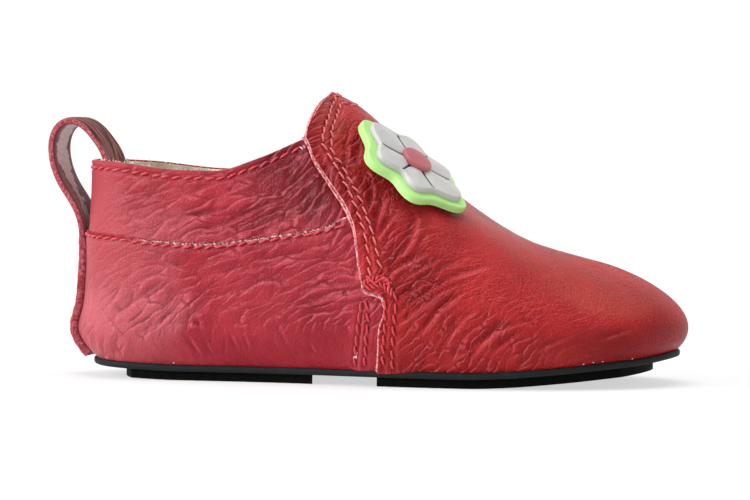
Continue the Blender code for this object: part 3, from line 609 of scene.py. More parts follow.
# The lie of the short folds: angle above the way to the toe, in degrees, their strength and their length
LIE = table(
    "round rise angle strength length",
    (0.05, 0.5, 80, 0.25, 5), (0.12, 0.3, 60, 0.5, 5), (0.2, 0.3, 42, 1, 5), (0.25, 0.1, 118, 0.35, 5),
    (0.35, 0.1, 112, 0.3, 5), (0.43, 0.1, 115, 0.28, 5), (0.16, 0.6, 20, 0.35, 6), (0.25, 0.55, 12, 0.5, 7),
    (0.35, 0.5, 25, 0.7, 8), (0.45, 0.5, 28, 0.8, 8), (0.34, 0.3, 35, 0.6, 6), (0.45, 0.33, 18, 0.8, 8),
    (0.1, 0.85, 80, 0.15, 5), (0.2, 0.85, -5, 0.6, 6), (0.3, 0.75, 22, 0.9, 8), (0.38, 0.75, 30, 1, 8),
    (0.45, 0.7, 50, 1, 7), (0.44, 0.87, 46, 0.9, 6), (0.3, 0.93, 20, 0.6, 5), (0.53, 0.75, 80, 1, 7),
    (0.56, 0.6, 76, 0.9, 7), (0.6, 0.55, 66, 0.7, 8), (0.62, 0.45, 50, 0.55, 8), (0.56, 0.4, 50, 0.8, 7),
    (0.58, 0.3, 42, 1, 7), (0.66, 0.38, 30, 0.22, 7), (0.58, 0.16, 45, 0.6, 6), (0.64, 0.15, 50, 0.7, 6),
    (0.7, 0.15, 45, 0.8, 6), (0.78, 0.13, 35, 0.35, 6), (0.86, 0.16, 25, 0.12, 6), (0.93, 0.3, 10, 0.04, 5),
    (0.8, 0.45, 10, 0.06, 6), (0.7, 0.6, 0, 0.05, 6), (0.68, 0.85, 0, 0.3, 6), (0.8, 0.8, 0, 0.05, 6))

# Painted sheen and painted shade: positive amounts paint the leather paler as a sheen, most on the heel's quarter,
# and negative ones paint it darker as shade, most beside the vamp and low on the toe
PAINTED_SHEEN_AND_SHADE = table(
    "round rise amount",
    (0.05, 0.2, 0.2), (0.05, 0.6, 0.16), (0.14, 0.3, 0.3), (0.21, 0.25, 0.28), (0.2, 0.5, 0.18), (0.14, 0.8, 0.16),
    (0.23, 0.72, 0.2), (0.22, 0.9, 0.1), (0.28, 0.2, -0.02), (0.3, 0.5, -0.06), (0.38, 0.25, -0.1),
    (0.4, 0.55, -0.08), (0.32, 0.8, -0.04), (0.4, 0.8, -0.22), (0.47, 0.75, -0.4), (0.43, 0.92, -0.34),
    (0.54, 0.85, 0.2), (0.58, 0.7, -0.04), (0.62, 0.6, -0.26), (0.6, 0.35, 0.05), (0.62, 0.2, 0.04),
    (0.6, 0.05, -0.16), (0.7, 0.4, 0.02), (0.7, 0.22, 0.06), (0.75, 0.08, -0.18), (0.85, 0.1, -0.24),
    (0.95, 0.15, -0.18), (0.75, 0.8, 0.06), (0.88, 0.6, 0.14), (0.88, 0.35, 0.17))
print("long folds", len(FOLDS["depth"]))

# %% Folds as lines on the skin
UPHILL = np.array([-0.5, 0.0, 0.85])   # a fold's lower wall is the steep one, with a lip
GENTLE, STEEP, LIP_AT, LIP_WIDTH = 1.7, 0.9, 1.7, 1.2   # a fold's walls and its lip, in widths of the fold
PULL_LIP_AT, PULL_LIP_WIDTH = 1.9, 1.1     # the lips of leather pulled in by stitches, one on either side
REACH = 4.0                # how far a line presses, in widths
LONG_DEEPER, LONG_NARROWER = 1.15, 0.72    # how the long folds are pressed, against their table
INNER_SHIFT, INNER_SHARE, STREWN = 0.012, 0.85, 600     # inner long folds are moved and shallower
NEAR_ROUND, NEAR_RISE, NEAR_EASE = 0.06, 0.12, 0.15     # how far a table's places count


class Line:
    """A line in space that presses a trough of a given depth and width into the leather near it."""

    def __init__(self, points, depth, width, tapered=True, ridges=0.6):
        self.points, self.depth, self.width, self.tapered, self.ridges = points, depth, width, tapered, ridges

    def press(self, spots, height):
        reach = REACH * self.width
        starts, along = self.points[:-1], np.diff(self.points, axis=0)
        off, passed, above = np.full(len(spots), np.inf), np.zeros(len(spots)), np.zeros(len(spots))
        box_low, box_high = self.points.min(0) - reach, self.points.max(0) + reach
        candidates = np.flatnonzero(((spots > box_low) & (spots < box_high)).all(axis=1))
        close = spots[candidates]
        for number, (start, step) in enumerate(zip(starts, along)):
            low, high = np.minimum(start, start + step) - reach, np.maximum(start, start + step) + reach
            some = np.flatnonzero(((close > low) & (close < high)).all(axis=1))
            gap = close[some] - start
            share = np.clip(gap @ step / (step @ step), 0, 1)
            aside = gap - share[:, None] * step
            far = np.linalg.norm(aside, axis=-1)
            spot, nearer = candidates[some], far < off[candidates[some]]
            spot = spot[nearer]
            off[spot], passed[spot] = far[nearer], (number + share[nearer]) / len(starts)
            above[spot] = aside[nearer] @ UPHILL
        near = np.flatnonzero(np.isfinite(off))
        off, passed, above = off[near], passed[near], above[near]
        if self.tapered:
            fade = np.sin(np.pi * np.clip(passed, 0, 1)) ** 0.6
            trough = np.exp(-(off / np.where(above > 0, GENTLE * self.width, STEEP * self.width)) ** 2)
            lip = np.exp(-((off - LIP_AT * self.width) / (LIP_WIDTH * self.width)) ** 2)
            lips = np.where(above > 0, 0.0, lip)
        else:
            fade = 1.0
            trough = np.exp(-(off / self.width) ** 2)
            lips = np.exp(-((off - PULL_LIP_AT * self.width) / (PULL_LIP_WIDTH * self.width)) ** 2)
        height[near] += fade * self.depth * (self.ridges * lips - trough)


def on_skin(side, rounds, rises, samples=12):
    """Points along a bowed line through three places."""
    t = np.linspace(0, 1, samples)
    weights = np.stack([(1 - t) * (1 - 2 * t), 4 * t * (1 - t), t * (2 * t - 1)])
    return upper_point(side * (np.asarray(rounds) @ weights), np.clip(np.asarray(rises) @ weights, 0.01, 0.99))


def nearness(rows, far, rise):
    """Weights of a table's places at each given place."""
    far, rise = np.broadcast_arrays(far, rise)
    off_round, off_rise = rows["round"] - far[..., None], rows["rise"] - rise[..., None]
    weights = ((off_round / NEAR_ROUND) ** 2 + (off_rise / NEAR_RISE) ** 2 + NEAR_EASE) ** -2
    return weights / weights.sum(-1, keepdims=True)


def lie_at(far, rise):
    """Angle, strength and length of the short folds at a place."""
    weights = nearness(LIE, far, rise)
    return weights @ LIE["angle"], weights @ LIE["strength"], weights @ LIE["length"]


def strewn_folds(side, count, seed):
    """Short folds that follow the lie of the long ones."""
    chance = np.random.default_rng(seed)
    lines = []
    for _ in range(count):
        far, rise = chance.uniform(0.03, 0.97), chance.uniform(0.04, 0.96)
        angle, strength, length = lie_at(np.array(far), np.array(rise))
        angle, length = np.radians(angle) + chance.normal(0, 0.22), length * chance.uniform(0.5, 1.3)
        if chance.uniform() > 0.25 + 0.75 * strength:
            continue
        here = upper_point(side * far, rise)
        per_round = np.linalg.norm(upper_point(side * (far + 0.01), rise) - here) / 0.01
        per_rise = np.linalg.norm(upper_point(side * far, rise + 0.01) - here) / 0.01
        step_round = 0.5 * length * np.cos(angle) / max(per_round, 30)
        step_rise = 0.5 * length * np.sin(angle) / max(per_rise, 20)
        bow = chance.normal(0, 0.12)
        ends, bulge, ratio = np.array([-1, 0, 1]), bow * np.array([0, 1, 0]), per_rise / per_round
        rounds = far + step_round * ends - step_rise * ratio * bulge
        rises = rise + step_rise * ends + step_round / ratio * bulge
        depth = strength * chance.uniform(0.05, 0.13)
        lines.append(Line(on_skin(side, rounds, rises, 7), depth, chance.uniform(0.55, 0.9)))
    return lines


def long_folds(side, shift=0.0, share=1.0):
    lines = []
    for r1, h1, r2, h2, r3, h3, depth, width in zip(*FOLDS.values()):
        route = on_skin(side, np.array([r1, r2, r3]) + shift, (h1, h2, h3))
        lines.append(Line(route, LONG_DEEPER * share * depth, LONG_NARROWER * width))
    return lines


folds = long_folds(-1) + strewn_folds(-1, STREWN, 3)
folds += long_folds(1, INNER_SHIFT, INNER_SHARE) + strewn_folds(1, STREWN, 8)
print("folds", len(folds))

# %% [markdown]
# ## Seams
# A seam is a row of stitches that pulls the leather down. The rows are drawn first, in the same two numbers as the
# folds, because the leather needs to know where it is pulled in. Two rows hold the vamp's back edge, two more run
# down below the knot on each of the two leathers, one follows the collar and one the joint of the quarter.

# %% Rows of stitches: places along each row on one side of the shoe
STITCH_PITCH, STITCH_LENGTH, THREAD = 2.55, 2.5, 0.5
VAMP_STEP, VAMP_LAP, SEAM_STEP, SEAM_LAP, SEAM_END_RISE = 1.2, 0.085, 0.5, 0.16, 0.58
ROWS = {
    "vamp_row_back": table(
        "round rise",
        (0.612, 0.985), (0.595, 0.965), (0.571, 0.936), (0.546, 0.918), (0.534, 0.896), (0.524, 0.886),
        (0.517, 0.875), (0.511, 0.854), (0.513, 0.814), (0.516, 0.761), (0.521, 0.696), (0.523, 0.65),
        (0.528, 0.543), (0.529, 0.486), (0.527, 0.446), (0.524, 0.407), (0.52, 0.365)),
    "vamp_row_front": table(
        "round rise",
        (0.64, 0.985), (0.628, 0.95), (0.607, 0.914), (0.557, 0.871), (0.541, 0.854), (0.53, 0.839), (0.524, 0.814),
        (0.52, 0.796), (0.521, 0.761), (0.526, 0.711), (0.529, 0.668), (0.533, 0.625), (0.537, 0.582),
        (0.54, 0.504), (0.541, 0.464), (0.54, 0.414), (0.538, 0.375), (0.537, 0.343)),
    "lower_row_back": table(
        "round rise",
        (0.534, 0.275), (0.527, 0.239), (0.521, 0.189), (0.511, 0.118), (0.5, 0.014)),
    "lower_row_front": table(
        "round rise",
        (0.549, 0.289), (0.546, 0.25), (0.537, 0.2), (0.524, 0.114), (0.514, 0.014)),
    "strip_row_back": table("round rise", (0.496, 0.304), (0.483, 0.239), (0.47, 0.146), (0.457, 0.018)),
    "strip_row_front": table("round rise", (0.503, 0.3), (0.497, 0.232), (0.485, 0.146), (0.471, 0.018)),
}


def seam_rise(around):
    flat = np.ravel(np.abs(around))
    return rise_at_height(flat, seam_height(flat)).reshape(np.shape(around))


def gone_along(line):
    """Distance along a line at each of its points."""
    return np.concatenate([[0], np.cumsum(np.linalg.norm(np.diff(line, axis=0), axis=1))])


def below_top(around, distance):
    """Rise at a distance below the top line, measured along the rib."""
    steps = np.linspace(0, 1, 161)
    rises = []
    for rib, drop in zip(upper_point(np.asarray(around)[:, None], steps), np.broadcast_to(distance, len(around))):
        gone = gone_along(rib)
        rises.append(np.interp(gone[-1] - drop, gone, steps))
    return np.array(rises)


def vamp_lap(around, rise):
    far = np.abs(wrapped(around))
    return VAMP_STEP * (1 - soft_step((far - vamp_edge(rise)) / VAMP_LAP))


def row_places(side, rows, samples=300):
    steps = np.arange(len(rows["round"]))
    t = np.linspace(0, steps[-1], samples)
    return side * steady_curve(steps, rows["round"])(t), steady_curve(steps, rows["rise"])(t)


STRIP_LIFT = 0.35          # the strip before the vamp's edge lies this much proud
PULL_DEPTH, PULL_WIDTH = 0.30, 0.55
sewn = []                  # name, around, rise, height over the skin
for side, label in SIDES:
    for name, rows in ROWS.items():
        around, rise = row_places(side, rows)
        lap = STRIP_LIFT + 0 * rise if name.startswith("strip") else vamp_lap(around, rise)
        sewn.append((label + "_" + name, around, rise, lap))
around = np.linspace(-0.462, 0.462, 900)
sewn.append(("collar_row", around, below_top(around, 1.7), 0 * around))
around = np.linspace(-0.508, 0.508, 900)
sewn.append(("quarter_row", around, seam_rise(around) - 0.012, SEAM_STEP + 0 * around))
pulls = [Line(upper_point(around, rise)[::3], PULL_DEPTH, PULL_WIDTH, tapered=False, ridges=0.3)
         for _, around, rise, _ in sewn]
print("rows of stitches", len(sewn))

# %% [markdown]
# ## Leather panels
# A shoe like this is cut from three pieces of leather: the vamp with its tongue, the lower quarter, and the
# collar band above it. One shell with painted seams would be simpler, but a cut edge only catches the light where
# it stands proud. So each panel is a sheet with a real thickness: a grid on the skin of the last, pressed by the
# folds and the stitches. The border of a cut edge is bevelled and takes the paler finish of the leather's inside.

# %% Meshes from grids
ALL_SMOOTH = 180                         # degrees
ALL_EDGES = np.s_[:, 0], np.s_[:, -1], np.s_[0], np.s_[-1]


def listed(*grids):
    """Points of several grids, one after the other."""
    return np.concatenate([np.reshape(grid, (-1, 3)) for grid in grids])


def sheet_faces(rows, columns, edges=ALL_EDGES):
    """Front, back and rim of a sheet over two grids. The rim runs along the given edges."""
    front = numbered(rows, columns)
    back = front + rows * columns
    rim = np.concatenate([grid_faces(np.stack([front[edge], back[edge]])) for edge in edges])
    return grid_faces(front), grid_faces(back[::-1]), rim


def tube_faces(rings, sides, count=1):
    """Faces of closed tubes, one after the other."""
    firsts = np.arange(count) * rings * sides
    one = grid_faces(ringed(numbered(rings, sides)))
    faces = (one + firsts[:, None, None]).reshape(-1, 4).tolist()
    for first in firsts:
        last = first + (rings - 1) * sides
        faces += [list(range(first, first + sides))[::-1], list(range(last, last + sides))]
    return faces


def make_piece(name, points, faces, finishes, stands_for=None, slots=None, fields=None, weld=0.0, crisp=50):
    """Object on the shoe's body, from points in drawing millimetres."""
    mesh = bpy.data.meshes.new(name)
    mesh.from_pydata(((points + SHOE_TO_FRAME) * MM).tolist(), [], [tuple(face) for face in faces])
    for finish in finishes:
        mesh.materials.append(finish)
    if slots is not None:
        mesh.polygons.foreach_set("material_index", np.asarray(slots, np.int32))
    for label, values in (fields or {}).items():
        stored = mesh.attributes.new(label, "FLOAT", "POINT")
        stored.data.foreach_set("value", np.asarray(values, np.float32).ravel())
    shape = bmesh.new()
    shape.from_mesh(mesh)
    if weld:
        bmesh.ops.remove_doubles(shape, verts=shape.verts, dist=weld * MM)
        bmesh.ops.dissolve_degenerate(shape, edges=shape.edges, dist=0.002 * MM)
    bmesh.ops.recalc_face_normals(shape, faces=shape.faces)
    shape.to_mesh(mesh)
    shape.free()
    mesh.shade_smooth()
    mesh.set_sharp_from_angle(angle=np.radians(crisp))
    piece = placed(name, mesh)
    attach(piece, "root")
    if stands_for:
        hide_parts(stands_for)
    print(name, sum(len(polygon.vertices) - 2 for polygon in mesh.polygons), "triangles")
    return piece


def lumps(points, size, seed):
    """Soft lumps of about a given size, mostly between -1 and 1."""
    chance = np.random.default_rng(seed)
    total = np.zeros(points.shape[:-1])
    for _ in range(14):
        way = unit(chance.normal(size=3)) * 2 * np.pi / (size * chance.uniform(0.7, 1.6))
        total += np.sin(points @ way + chance.uniform(0, 6.3))
    return total / 5.0


# %% Panels and their cut edges
FOLD_LIMIT = 0.38          # folds that cross don't add up beyond this, in millimetres


def panel(name, around, rise, over, under, cut, finishes, open_top=None):
    """Leather sheet over a grid of places. "Over" and "under" are the heights of its faces above the skin, "cut"
    marks the grid faces that show the cut leather, and "open_top" the columns whose upper edge is free."""
    skin, normal = skin_at(around, rise)
    height = np.zeros(around.size)
    for line in folds + pulls:
        line.press(skin.reshape(-1, 3), height)
    height = FOLD_LIMIT * np.tanh(height.reshape(around.shape) / FOLD_LIMIT)
    columns, rows = around.shape
    open_top = np.ones(columns, bool) if open_top is None else open_top
    runs = np.split(np.arange(columns), np.flatnonzero(np.diff(open_top.astype(int))) + 1)
    edges = [np.s_[:, 0], np.s_[0], np.s_[-1]]
    edges += [np.s_[run, -1] for run in runs if open_top[run[0]] and len(run) > 1]
    front, back, rim = sheet_faces(columns, rows, edges)
    slots = np.concatenate([cut.ravel().astype(int), np.zeros(cut.size, int), np.ones(len(rim), int)])
    points = listed(skin + (over + height)[..., None] * normal, skin + under[..., None] * normal)
    steps = np.linalg.norm(np.diff(skin, axis=1, prepend=skin[:, :1]), axis=-1)
    angle, strength, _ = lie_at(np.abs(around), rise)
    shares = np.stack([np.interp(angle, list(LIES.values()), row) ** 3 for row in np.eye(len(LIES))])
    fields = dict(zip(LIES, strength * shares / shares.sum(0)))
    fields["climb"] = np.cumsum(steps, axis=1) + skin[:, :1, 2]
    # painted sheen where the amount is above zero, painted shade where it is below
    fields["wear_and_painted_light"] = nearness(PAINTED_SHEEN_AND_SHADE, np.abs(around), rise) @ PAINTED_SHEEN_AND_SHADE["amount"]
    fields = {label: np.tile(values.ravel(), 2) for label, values in fields.items()}
    fields["fold"] = np.concatenate([height.ravel(), np.zeros(height.size)])
    return make_piece(name, points, np.concatenate([front, back, rim]), finishes, "upper", slots,
                      fields, weld=0.02)


def uncut(around):
    """Marks for the faces of a grid, none of them set."""
    return np.zeros((around.shape[0] - 1, around.shape[1] - 1), bool)


def edge_cord(name, around, rise, height, radius, finish, seed, sides=8):
    """Rough round border along a cut edge."""
    skin, normal = skin_at(around, rise)
    line = skin + height * normal
    aside = np.cross(unit(np.gradient(line, axis=0)), normal)
    girth = (radius * (1 + 0.15 * lumps(line, 1.5, seed)))[:, None, None]
    angle = turns(sides)[None, :, None]
    points = line[:, None] + girth * (np.cos(angle) * normal[:, None] + np.sin(angle) * aside[:, None])
    return make_piece(name, listed(points), tube_faces(len(line), sides), [finish], crisp=ALL_SMOOTH)


def bevelled(shares, bevel):
    """Grid shares that start with a narrow bevel."""
    return np.concatenate([[0, bevel], bevel + (1 - bevel) * shares[1:]])


# %% Vamp and tongue
BACK_BEVEL, TOP_BEVEL, SEAM_BEVEL = 0.0048, 0.006, 0.016   # shares of a grid
BACK_DROP, TONGUE_DROP, VAMP_LEATHER = 0.85, 0.55, 1.15    # millimetres

forward = bevelled(np.concatenate([np.linspace(0, 0.2, 46)[:-1], np.linspace(0.2, 1, 105)]), BACK_BEVEL)[:, None]
upward = 1 - bevelled(np.linspace(0, 1, 125), TOP_BEVEL)[::-1]
rise = np.broadcast_to(upward, (len(forward), len(upward)))
start = vamp_edge(rise)
half = start + (1 - start) * forward
half[np.abs(half[:, -1] - PEAK).argmin(), -1] = PEAK
around = np.concatenate([-half, half[-2::-1]])
rise = np.concatenate([rise, rise[-2::-1]])
lap = vamp_lap(around, rise)
edge_drop = np.zeros_like(lap)
edge_drop[[0, -1]] = BACK_DROP
free = np.abs(around[:, -1]) < PEAK + 1e-6
edge_drop[free, -1] = np.maximum(edge_drop[free, -1], TONGUE_DROP)
cut = uncut(around)
cut[[0, -1]] = True
cut[:, -1] = free[:-1] & free[1:]
panel("vamp", around, rise, lap - edge_drop, lap - VAMP_LEATHER, cut, [VAMP_RED, CUT_PINK], free)

# %% Cut edge of the vamp, from the sole up to the tongue's peak
CORD_HEIGHT, CORD_RADIUS, CORD_THINNER = 0.58, 0.29, 0.15   # it is thinner on the tongue

climb = np.linspace(0.008, 1, 420)
onward = np.linspace(0, 1, 120)[1:]
edge_rounds = np.concatenate([vamp_edge(climb), np.linspace(VAMP_CORNER, PEAK - 0.02, 120)[1:]])
on_tongue = soft_step(3 * np.concatenate([0 * climb, onward]))
edge_rises = np.concatenate([climb, np.ones(len(onward))]) - 0.004 - 0.012 * on_tongue
for side, label in SIDES:
    edge_cord(label + "_vamp_cut_edge", side * edge_rounds, edge_rises, CORD_HEIGHT,
              CORD_RADIUS - CORD_THINNER * on_tongue, CUT_PINK, 31)

# %% Lower quarter, lapped over the collar band
UNDER_VAMP = 0.010         # how far round the quarter reaches under the vamp
STRIP_START, STRIP_SLANT, STRIP_TOP = 0.452, 0.14, 0.34    # the strip's back edge, in rounds, and its upper end
QUARTER_DROP, QUARTER_LEATHER, QUARTER_GAIN = 0.42, 0.45, 0.6   # it is thinned where it laps over the band
SEAM_CORD_HEIGHT, SEAM_CORD_RADIUS = 0.18, 0.26

across = np.linspace(-1, 1, 421)
climb = 1 - bevelled(np.linspace(0, 1, 62), SEAM_BEVEL)[::-1]
line_rounds = np.abs(across) * vamp_edge(SEAM_END_RISE)
seam = rise_at_height(line_rounds, seam_height(line_rounds))[:, None]
rise = seam * climb
around = across[:, None] * (vamp_edge(rise) + UNDER_VAMP)
lap = SEAM_STEP * (1 - soft_step((seam - rise) / SEAM_LAP))
strip_start = STRIP_START + STRIP_SLANT * rise
strip = soft_step((np.abs(around) - strip_start) / 0.006) * soft_step((STRIP_TOP - rise) / 0.03)
over = lap + STRIP_LIFT * strip
over[:, -1] -= QUARTER_DROP
under = lap - QUARTER_LEATHER - QUARTER_GAIN * soft_step((seam - rise) / 0.12)
cut = uncut(around)
cut[:, -1] = True
panel("quarter", around, rise, over, under, cut, [QUARTER_RED, CUT_PALE])
edge_rounds = np.linspace(-0.505, 0.505, 700)
edge_cord("quarter_cut_edge", edge_rounds, seam_rise(edge_rounds), SEAM_CORD_HEIGHT, SEAM_CORD_RADIUS, CUT_PALE, 32)

# %% Collar band
BAND_UNDER_SEAM, BAND_LEATHER, BAND_DROP = 0.012, 1.05, 0.4

climb = 1 - bevelled(np.linspace(0, 1, 40), SEAM_BEVEL)[::-1]
rise = seam - BAND_UNDER_SEAM + (1 + BAND_UNDER_SEAM - seam) * climb
around = across[:, None] * (vamp_edge(rise) + UNDER_VAMP * (1 - soft_step((rise - 0.9) / 0.1)))
over = np.zeros_like(rise)
over[:, -1] -= BAND_DROP
panel("collar_band", around, rise, over, np.full_like(rise, -BAND_LEATHER), uncut(around), [QUARTER_RED, CUT_PINK])

# %% [markdown]
# ## Fleece lining
# The shoe is lined with a curly cream fleece, seen at the collar and from above. It is a sheet on the inside of
# the wall, lumpy like wool, and along the collar short curls stand up from it. Hair would give curls too, but an
# exported model keeps only meshes, so the curls are little tapered tubes, joined into one mesh.

# %% Lining
BACKING, PILE, LUMP = 1.15, 0.12, 0.25   # millimetres

half = np.concatenate([np.linspace(0, VAMP_CORNER, 60)[:-1], np.linspace(VAMP_CORNER, PEAK, 16)[:-1],
                       np.linspace(PEAK, 1, 50)])
far, rise = np.meshgrid(half, np.linspace(0.03, 1, 56), indexing="ij")
rise = np.where((far < PEAK - 1e-6) & (rise > 0.999), 0.992, rise)
around = np.concatenate([-far[::-1], far[1:]])
rise = np.concatenate([rise[::-1], rise[1:]])
skin, normal = skin_at(around, rise)
on_vamp = np.abs(around) > vamp_edge(rise) + 0.012
wool = -WALL - LUMP * lumps(skin, 3.0, 5) - PILE
backing = np.where(on_vamp, np.maximum(vamp_lap(around, rise) - 1.2, -BACKING), -BACKING)
free = np.flatnonzero(np.abs(around[:, -1]) < PEAK + 1e-6)
make_piece("fleece_lining", listed(skin + wool[..., None] * normal, skin + backing[..., None] * normal),
           np.concatenate(sheet_faces(*around.shape, (np.s_[:, 0], np.s_[free, -1]))), [FLEECE], "upper",
           weld=0.02, crisp=80)


# %% Curls and loose fibres
def fibres(name, roots, ways, lengths, thickness, finish, seed, curl=0.8, rings=4, sides=3):
    """Short bent tapering fibres, joined into one mesh."""
    chance = np.random.default_rng(seed)
    ways = unit(ways)
    aside = unit(np.cross(ways, chance.normal(size=ways.shape)))
    third = np.cross(ways, aside)
    t, length = np.linspace(0, 1, rings)[None, :, None], lengths[:, None, None]
    line = roots[:, None] + ways[:, None] * length * t * (1 - 0.3 * curl * t)
    line = line + aside[:, None] * curl * length * t ** 2
    angle = turns(sides)[None, None, :, None]
    girth = (0.5 * thickness * (1 - 0.75 * t))[..., None]
    around = np.cos(angle) * aside[:, None, None] + np.sin(angle) * third[:, None, None]
    points = line[:, :, None] + girth * around
    return make_piece(name, listed(points), tube_faces(rings, sides, len(roots)), [finish], crisp=ALL_SMOOTH)


CURLS, CURL_THICKNESS, CURL_ROOT = 2600, 0.26, 0.1
chance = np.random.default_rng(21)
around = chance.uniform(-0.45, 0.45, CURLS)
rise = below_top(around, chance.uniform(0.0, 5.0, CURLS))
skin, normal = skin_at(around, rise)
ways = -normal + 0.8 * chance.normal(size=(CURLS, 3)) + np.array([0, 0, 0.2])
roots, lengths = skin - (WALL + CURL_ROOT) * normal, chance.uniform(0.4, 0.9, CURLS)
fibres("fleece_curls", roots, ways, lengths, CURL_THICKNESS, FLEECE, 22)

# %% [markdown]
# ## Stitches
# One stitch is a short piece of twisted thread that dives into the leather at both ends. A painted row would look
# flat from the side, and a modifier that copies along a curve would lay every stitch alike. So a template is
# turned and placed along each row, a little askew as a sewing machine leaves it, and the rows become one mesh
# each.

# %% Rows of thread
STITCH_SUNK, STITCH_JITTER, ASKEW, ASKEW_JITTER = 0.12, 0.06, 13.0, 5   # millimetres, share of a pitch, degrees
VAMP_ROW_THREAD = 0.44


def thread_template(length, thickness, rings, sides):
    t, angle = np.linspace(-1, 1, rings)[:, None], turns(sides)[None]
    girth = 0.5 * thickness * (1 - 0.3 * t ** 4) * (1 + 0.14 * np.cos(2 * angle - 6 * t))
    height = 0.42 * thickness * (1 - t ** 2) - 1.1 * thickness * np.abs(t) ** 5
    return listed(joined(0.5 * length * t, girth * np.cos(angle), height + girth * np.sin(angle)))


def lay_stitches(name, places, ways, normals, length, thickness, finish, rings=9, sides=8):
    template = thread_template(length, thickness, rings, sides)
    frames = np.stack([ways, np.cross(normals, ways), normals], axis=1)
    points = np.einsum("pk,nkd->npd", template, frames) + places[:, None]
    return make_piece(name, listed(points), tube_faces(rings, sides, len(places)), [finish],
                      crisp=ALL_SMOOTH)


def seats_along(line, normal, at, nudge):
    """Places, ways and normals at distances along a line on the leather."""
    gone = gone_along(line)

    def pick(values, distances):
        return np.stack([np.interp(distances, gone, column) for column in values.T], -1)

    normals = unit(pick(normal, at))
    ways = pick(line, at + nudge) - pick(line, at - nudge)
    return pick(line, at), unit(ways - normals * (ways * normals).sum(-1, keepdims=True)), normals


def stitch_row(name, around, rise, lap, seed, pitch=STITCH_PITCH, length=STITCH_LENGTH, askew=ASKEW, thick=THREAD,
               finish=RED_THREAD):
    chance = np.random.default_rng(seed)
    skin, normal = skin_at(around, rise)
    line = skin + (lap - STITCH_SUNK)[:, None] * normal
    at = np.arange(0.6 * pitch, gone_along(line)[-1], pitch)
    at = at + chance.normal(0, STITCH_JITTER * pitch, len(at))
    places, ways, normals = seats_along(line, normal, at, 0.6)
    turn = np.radians(askew + chance.normal(0, ASKEW_JITTER, len(at)))[:, None]
    ways = np.cos(turn) * ways + np.sin(turn) * np.cross(normals, ways)
    return lay_stitches(name, places, ways, normals, length, thick, finish)


for number, (name, around, rise, lap) in enumerate(sewn):
    # the vamp's rows take the paler thread, a painted highlight
    painted_sheen = {"thick": VAMP_ROW_THREAD, "finish": PAINTED_HIGHLIGHT_THREAD} if "vamp_row" in name else {}
    stitch_row(name, around, rise, lap, 40 + number, **painted_sheen)

# %% [markdown]
# ## Knots and frayed edges
# Where the vamp's two edges meet, the machine has gone back and forth over the corner, and the thread lies in a
# small tangle. The raw top edge of the quarter has frayed in wear: pale fibres stand out of it. Both need no new
# shape: the knot is three short rows of stitches, turned further, and the fray is made of the same fibres as the
# fleece's curls.

# %% Knot at the corner of the vamp
KNOTS = (
    table("round rise", (0.506, 0.350), (0.519, 0.346), (0.529, 0.339), (0.540, 0.321), (0.546, 0.300)),
    table("round rise", (0.509, 0.332), (0.519, 0.325), (0.530, 0.318), (0.540, 0.296), (0.547, 0.271)),
    table("round rise", (0.516, 0.362), (0.524, 0.330), (0.536, 0.330), (0.544, 0.310), (0.540, 0.285)))
KNOT_ASKEW = 62.0, -48.0, 8.0            # degrees
KNOT_PITCH, KNOT_STITCH, KNOT_THREAD, KNOT_LAYER = 0.95, 2.0, 0.46, 0.12
for side, label in SIDES:
    for number, (rows, askew) in enumerate(zip(KNOTS, KNOT_ASKEW)):
        around, rise = row_places(side, rows, 60)
        height = vamp_lap(around, rise) + KNOT_LAYER * number
        stitch_row(f"{label}_knot_{number}", around, rise, height, 70 + number, KNOT_PITCH, KNOT_STITCH, askew,
                   KNOT_THREAD)

# %% Frayed edge of the quarter
FRAY_THICKNESS = 0.16

chance = np.random.default_rng(80)
around = np.concatenate([-chance.uniform(0.20, 0.50, 420), chance.uniform(0.20, 0.50, 300)])
count = len(around)
rise = seam_rise(around)
skin, normal = skin_at(around, rise)
climb = unit(upper_point(around, rise + 0.01) - skin)
roots = skin + chance.uniform(0.05, 0.4, count)[:, None] * normal
ways = climb + 0.5 * normal + 0.7 * chance.normal(size=(count, 3))
fibres("frayed_edge", roots, ways, chance.uniform(0.4, 1.1, count), FRAY_THICKNESS, CUT_PALE, 81)

# %% Thread ends and pale specks: tails at two places, and short stitches that show above the sole
TAILS = table(
    "round rise lift x z length", (-0.462, 0.072, 0.35, -0.1, -1.0, 0.9), (-0.464, 0.066, 0.35, 0.1, 1.2, 1.2),
    (-0.464, 0.955, 0.0, -0.6, 0.2, 0.7), (-0.468, 0.958, 0.0, 0.5, 0.5, 0.6))
SPECK_ROUNDS, SPECK_RISE = np.array([-0.815, -0.83, -0.845, -0.895, -0.222]), 0.008
TAIL_THICKNESS, SPECK_LENGTH, SPECK_THICKNESS, SPECK_SUNK = 0.48, 0.42, 0.2, 0.05

skin, normal = skin_at(TAILS["round"], TAILS["rise"])
fibres("thread_ends", skin + TAILS["lift"][:, None] * normal, normal + joined(TAILS["x"], 0.0, TAILS["z"]),
       TAILS["length"], TAIL_THICKNESS, PALE_THREAD, 90, rings=6, sides=6)
rise = SPECK_RISE + np.random.default_rng(91).uniform(-0.003, 0.004, len(SPECK_ROUNDS))
skin, normal = skin_at(SPECK_ROUNDS, rise)
ways = unit(upper_point(SPECK_ROUNDS - 0.002, rise) - upper_point(SPECK_ROUNDS + 0.002, rise))
lay_stitches("toe_specks", skin - SPECK_SUNK * normal, ways, normal, SPECK_LENGTH, SPECK_THICKNESS, PALE_THREAD)

# %% [markdown]
# ## Heel strap
# One strip of leather is sewn up the back of the heel, turned over as a loop and sewn inside the collar. Its
# outside is grain, dulled and wrinkled lengthwise by small hands. Its inside is suede, and its cut sides are
# pink. A curve with a bevel could give the strip, but not a different finish on each face. So it is a sheet swept
# along its middle line, with three values stored on it: how far along, how far across and how worn.

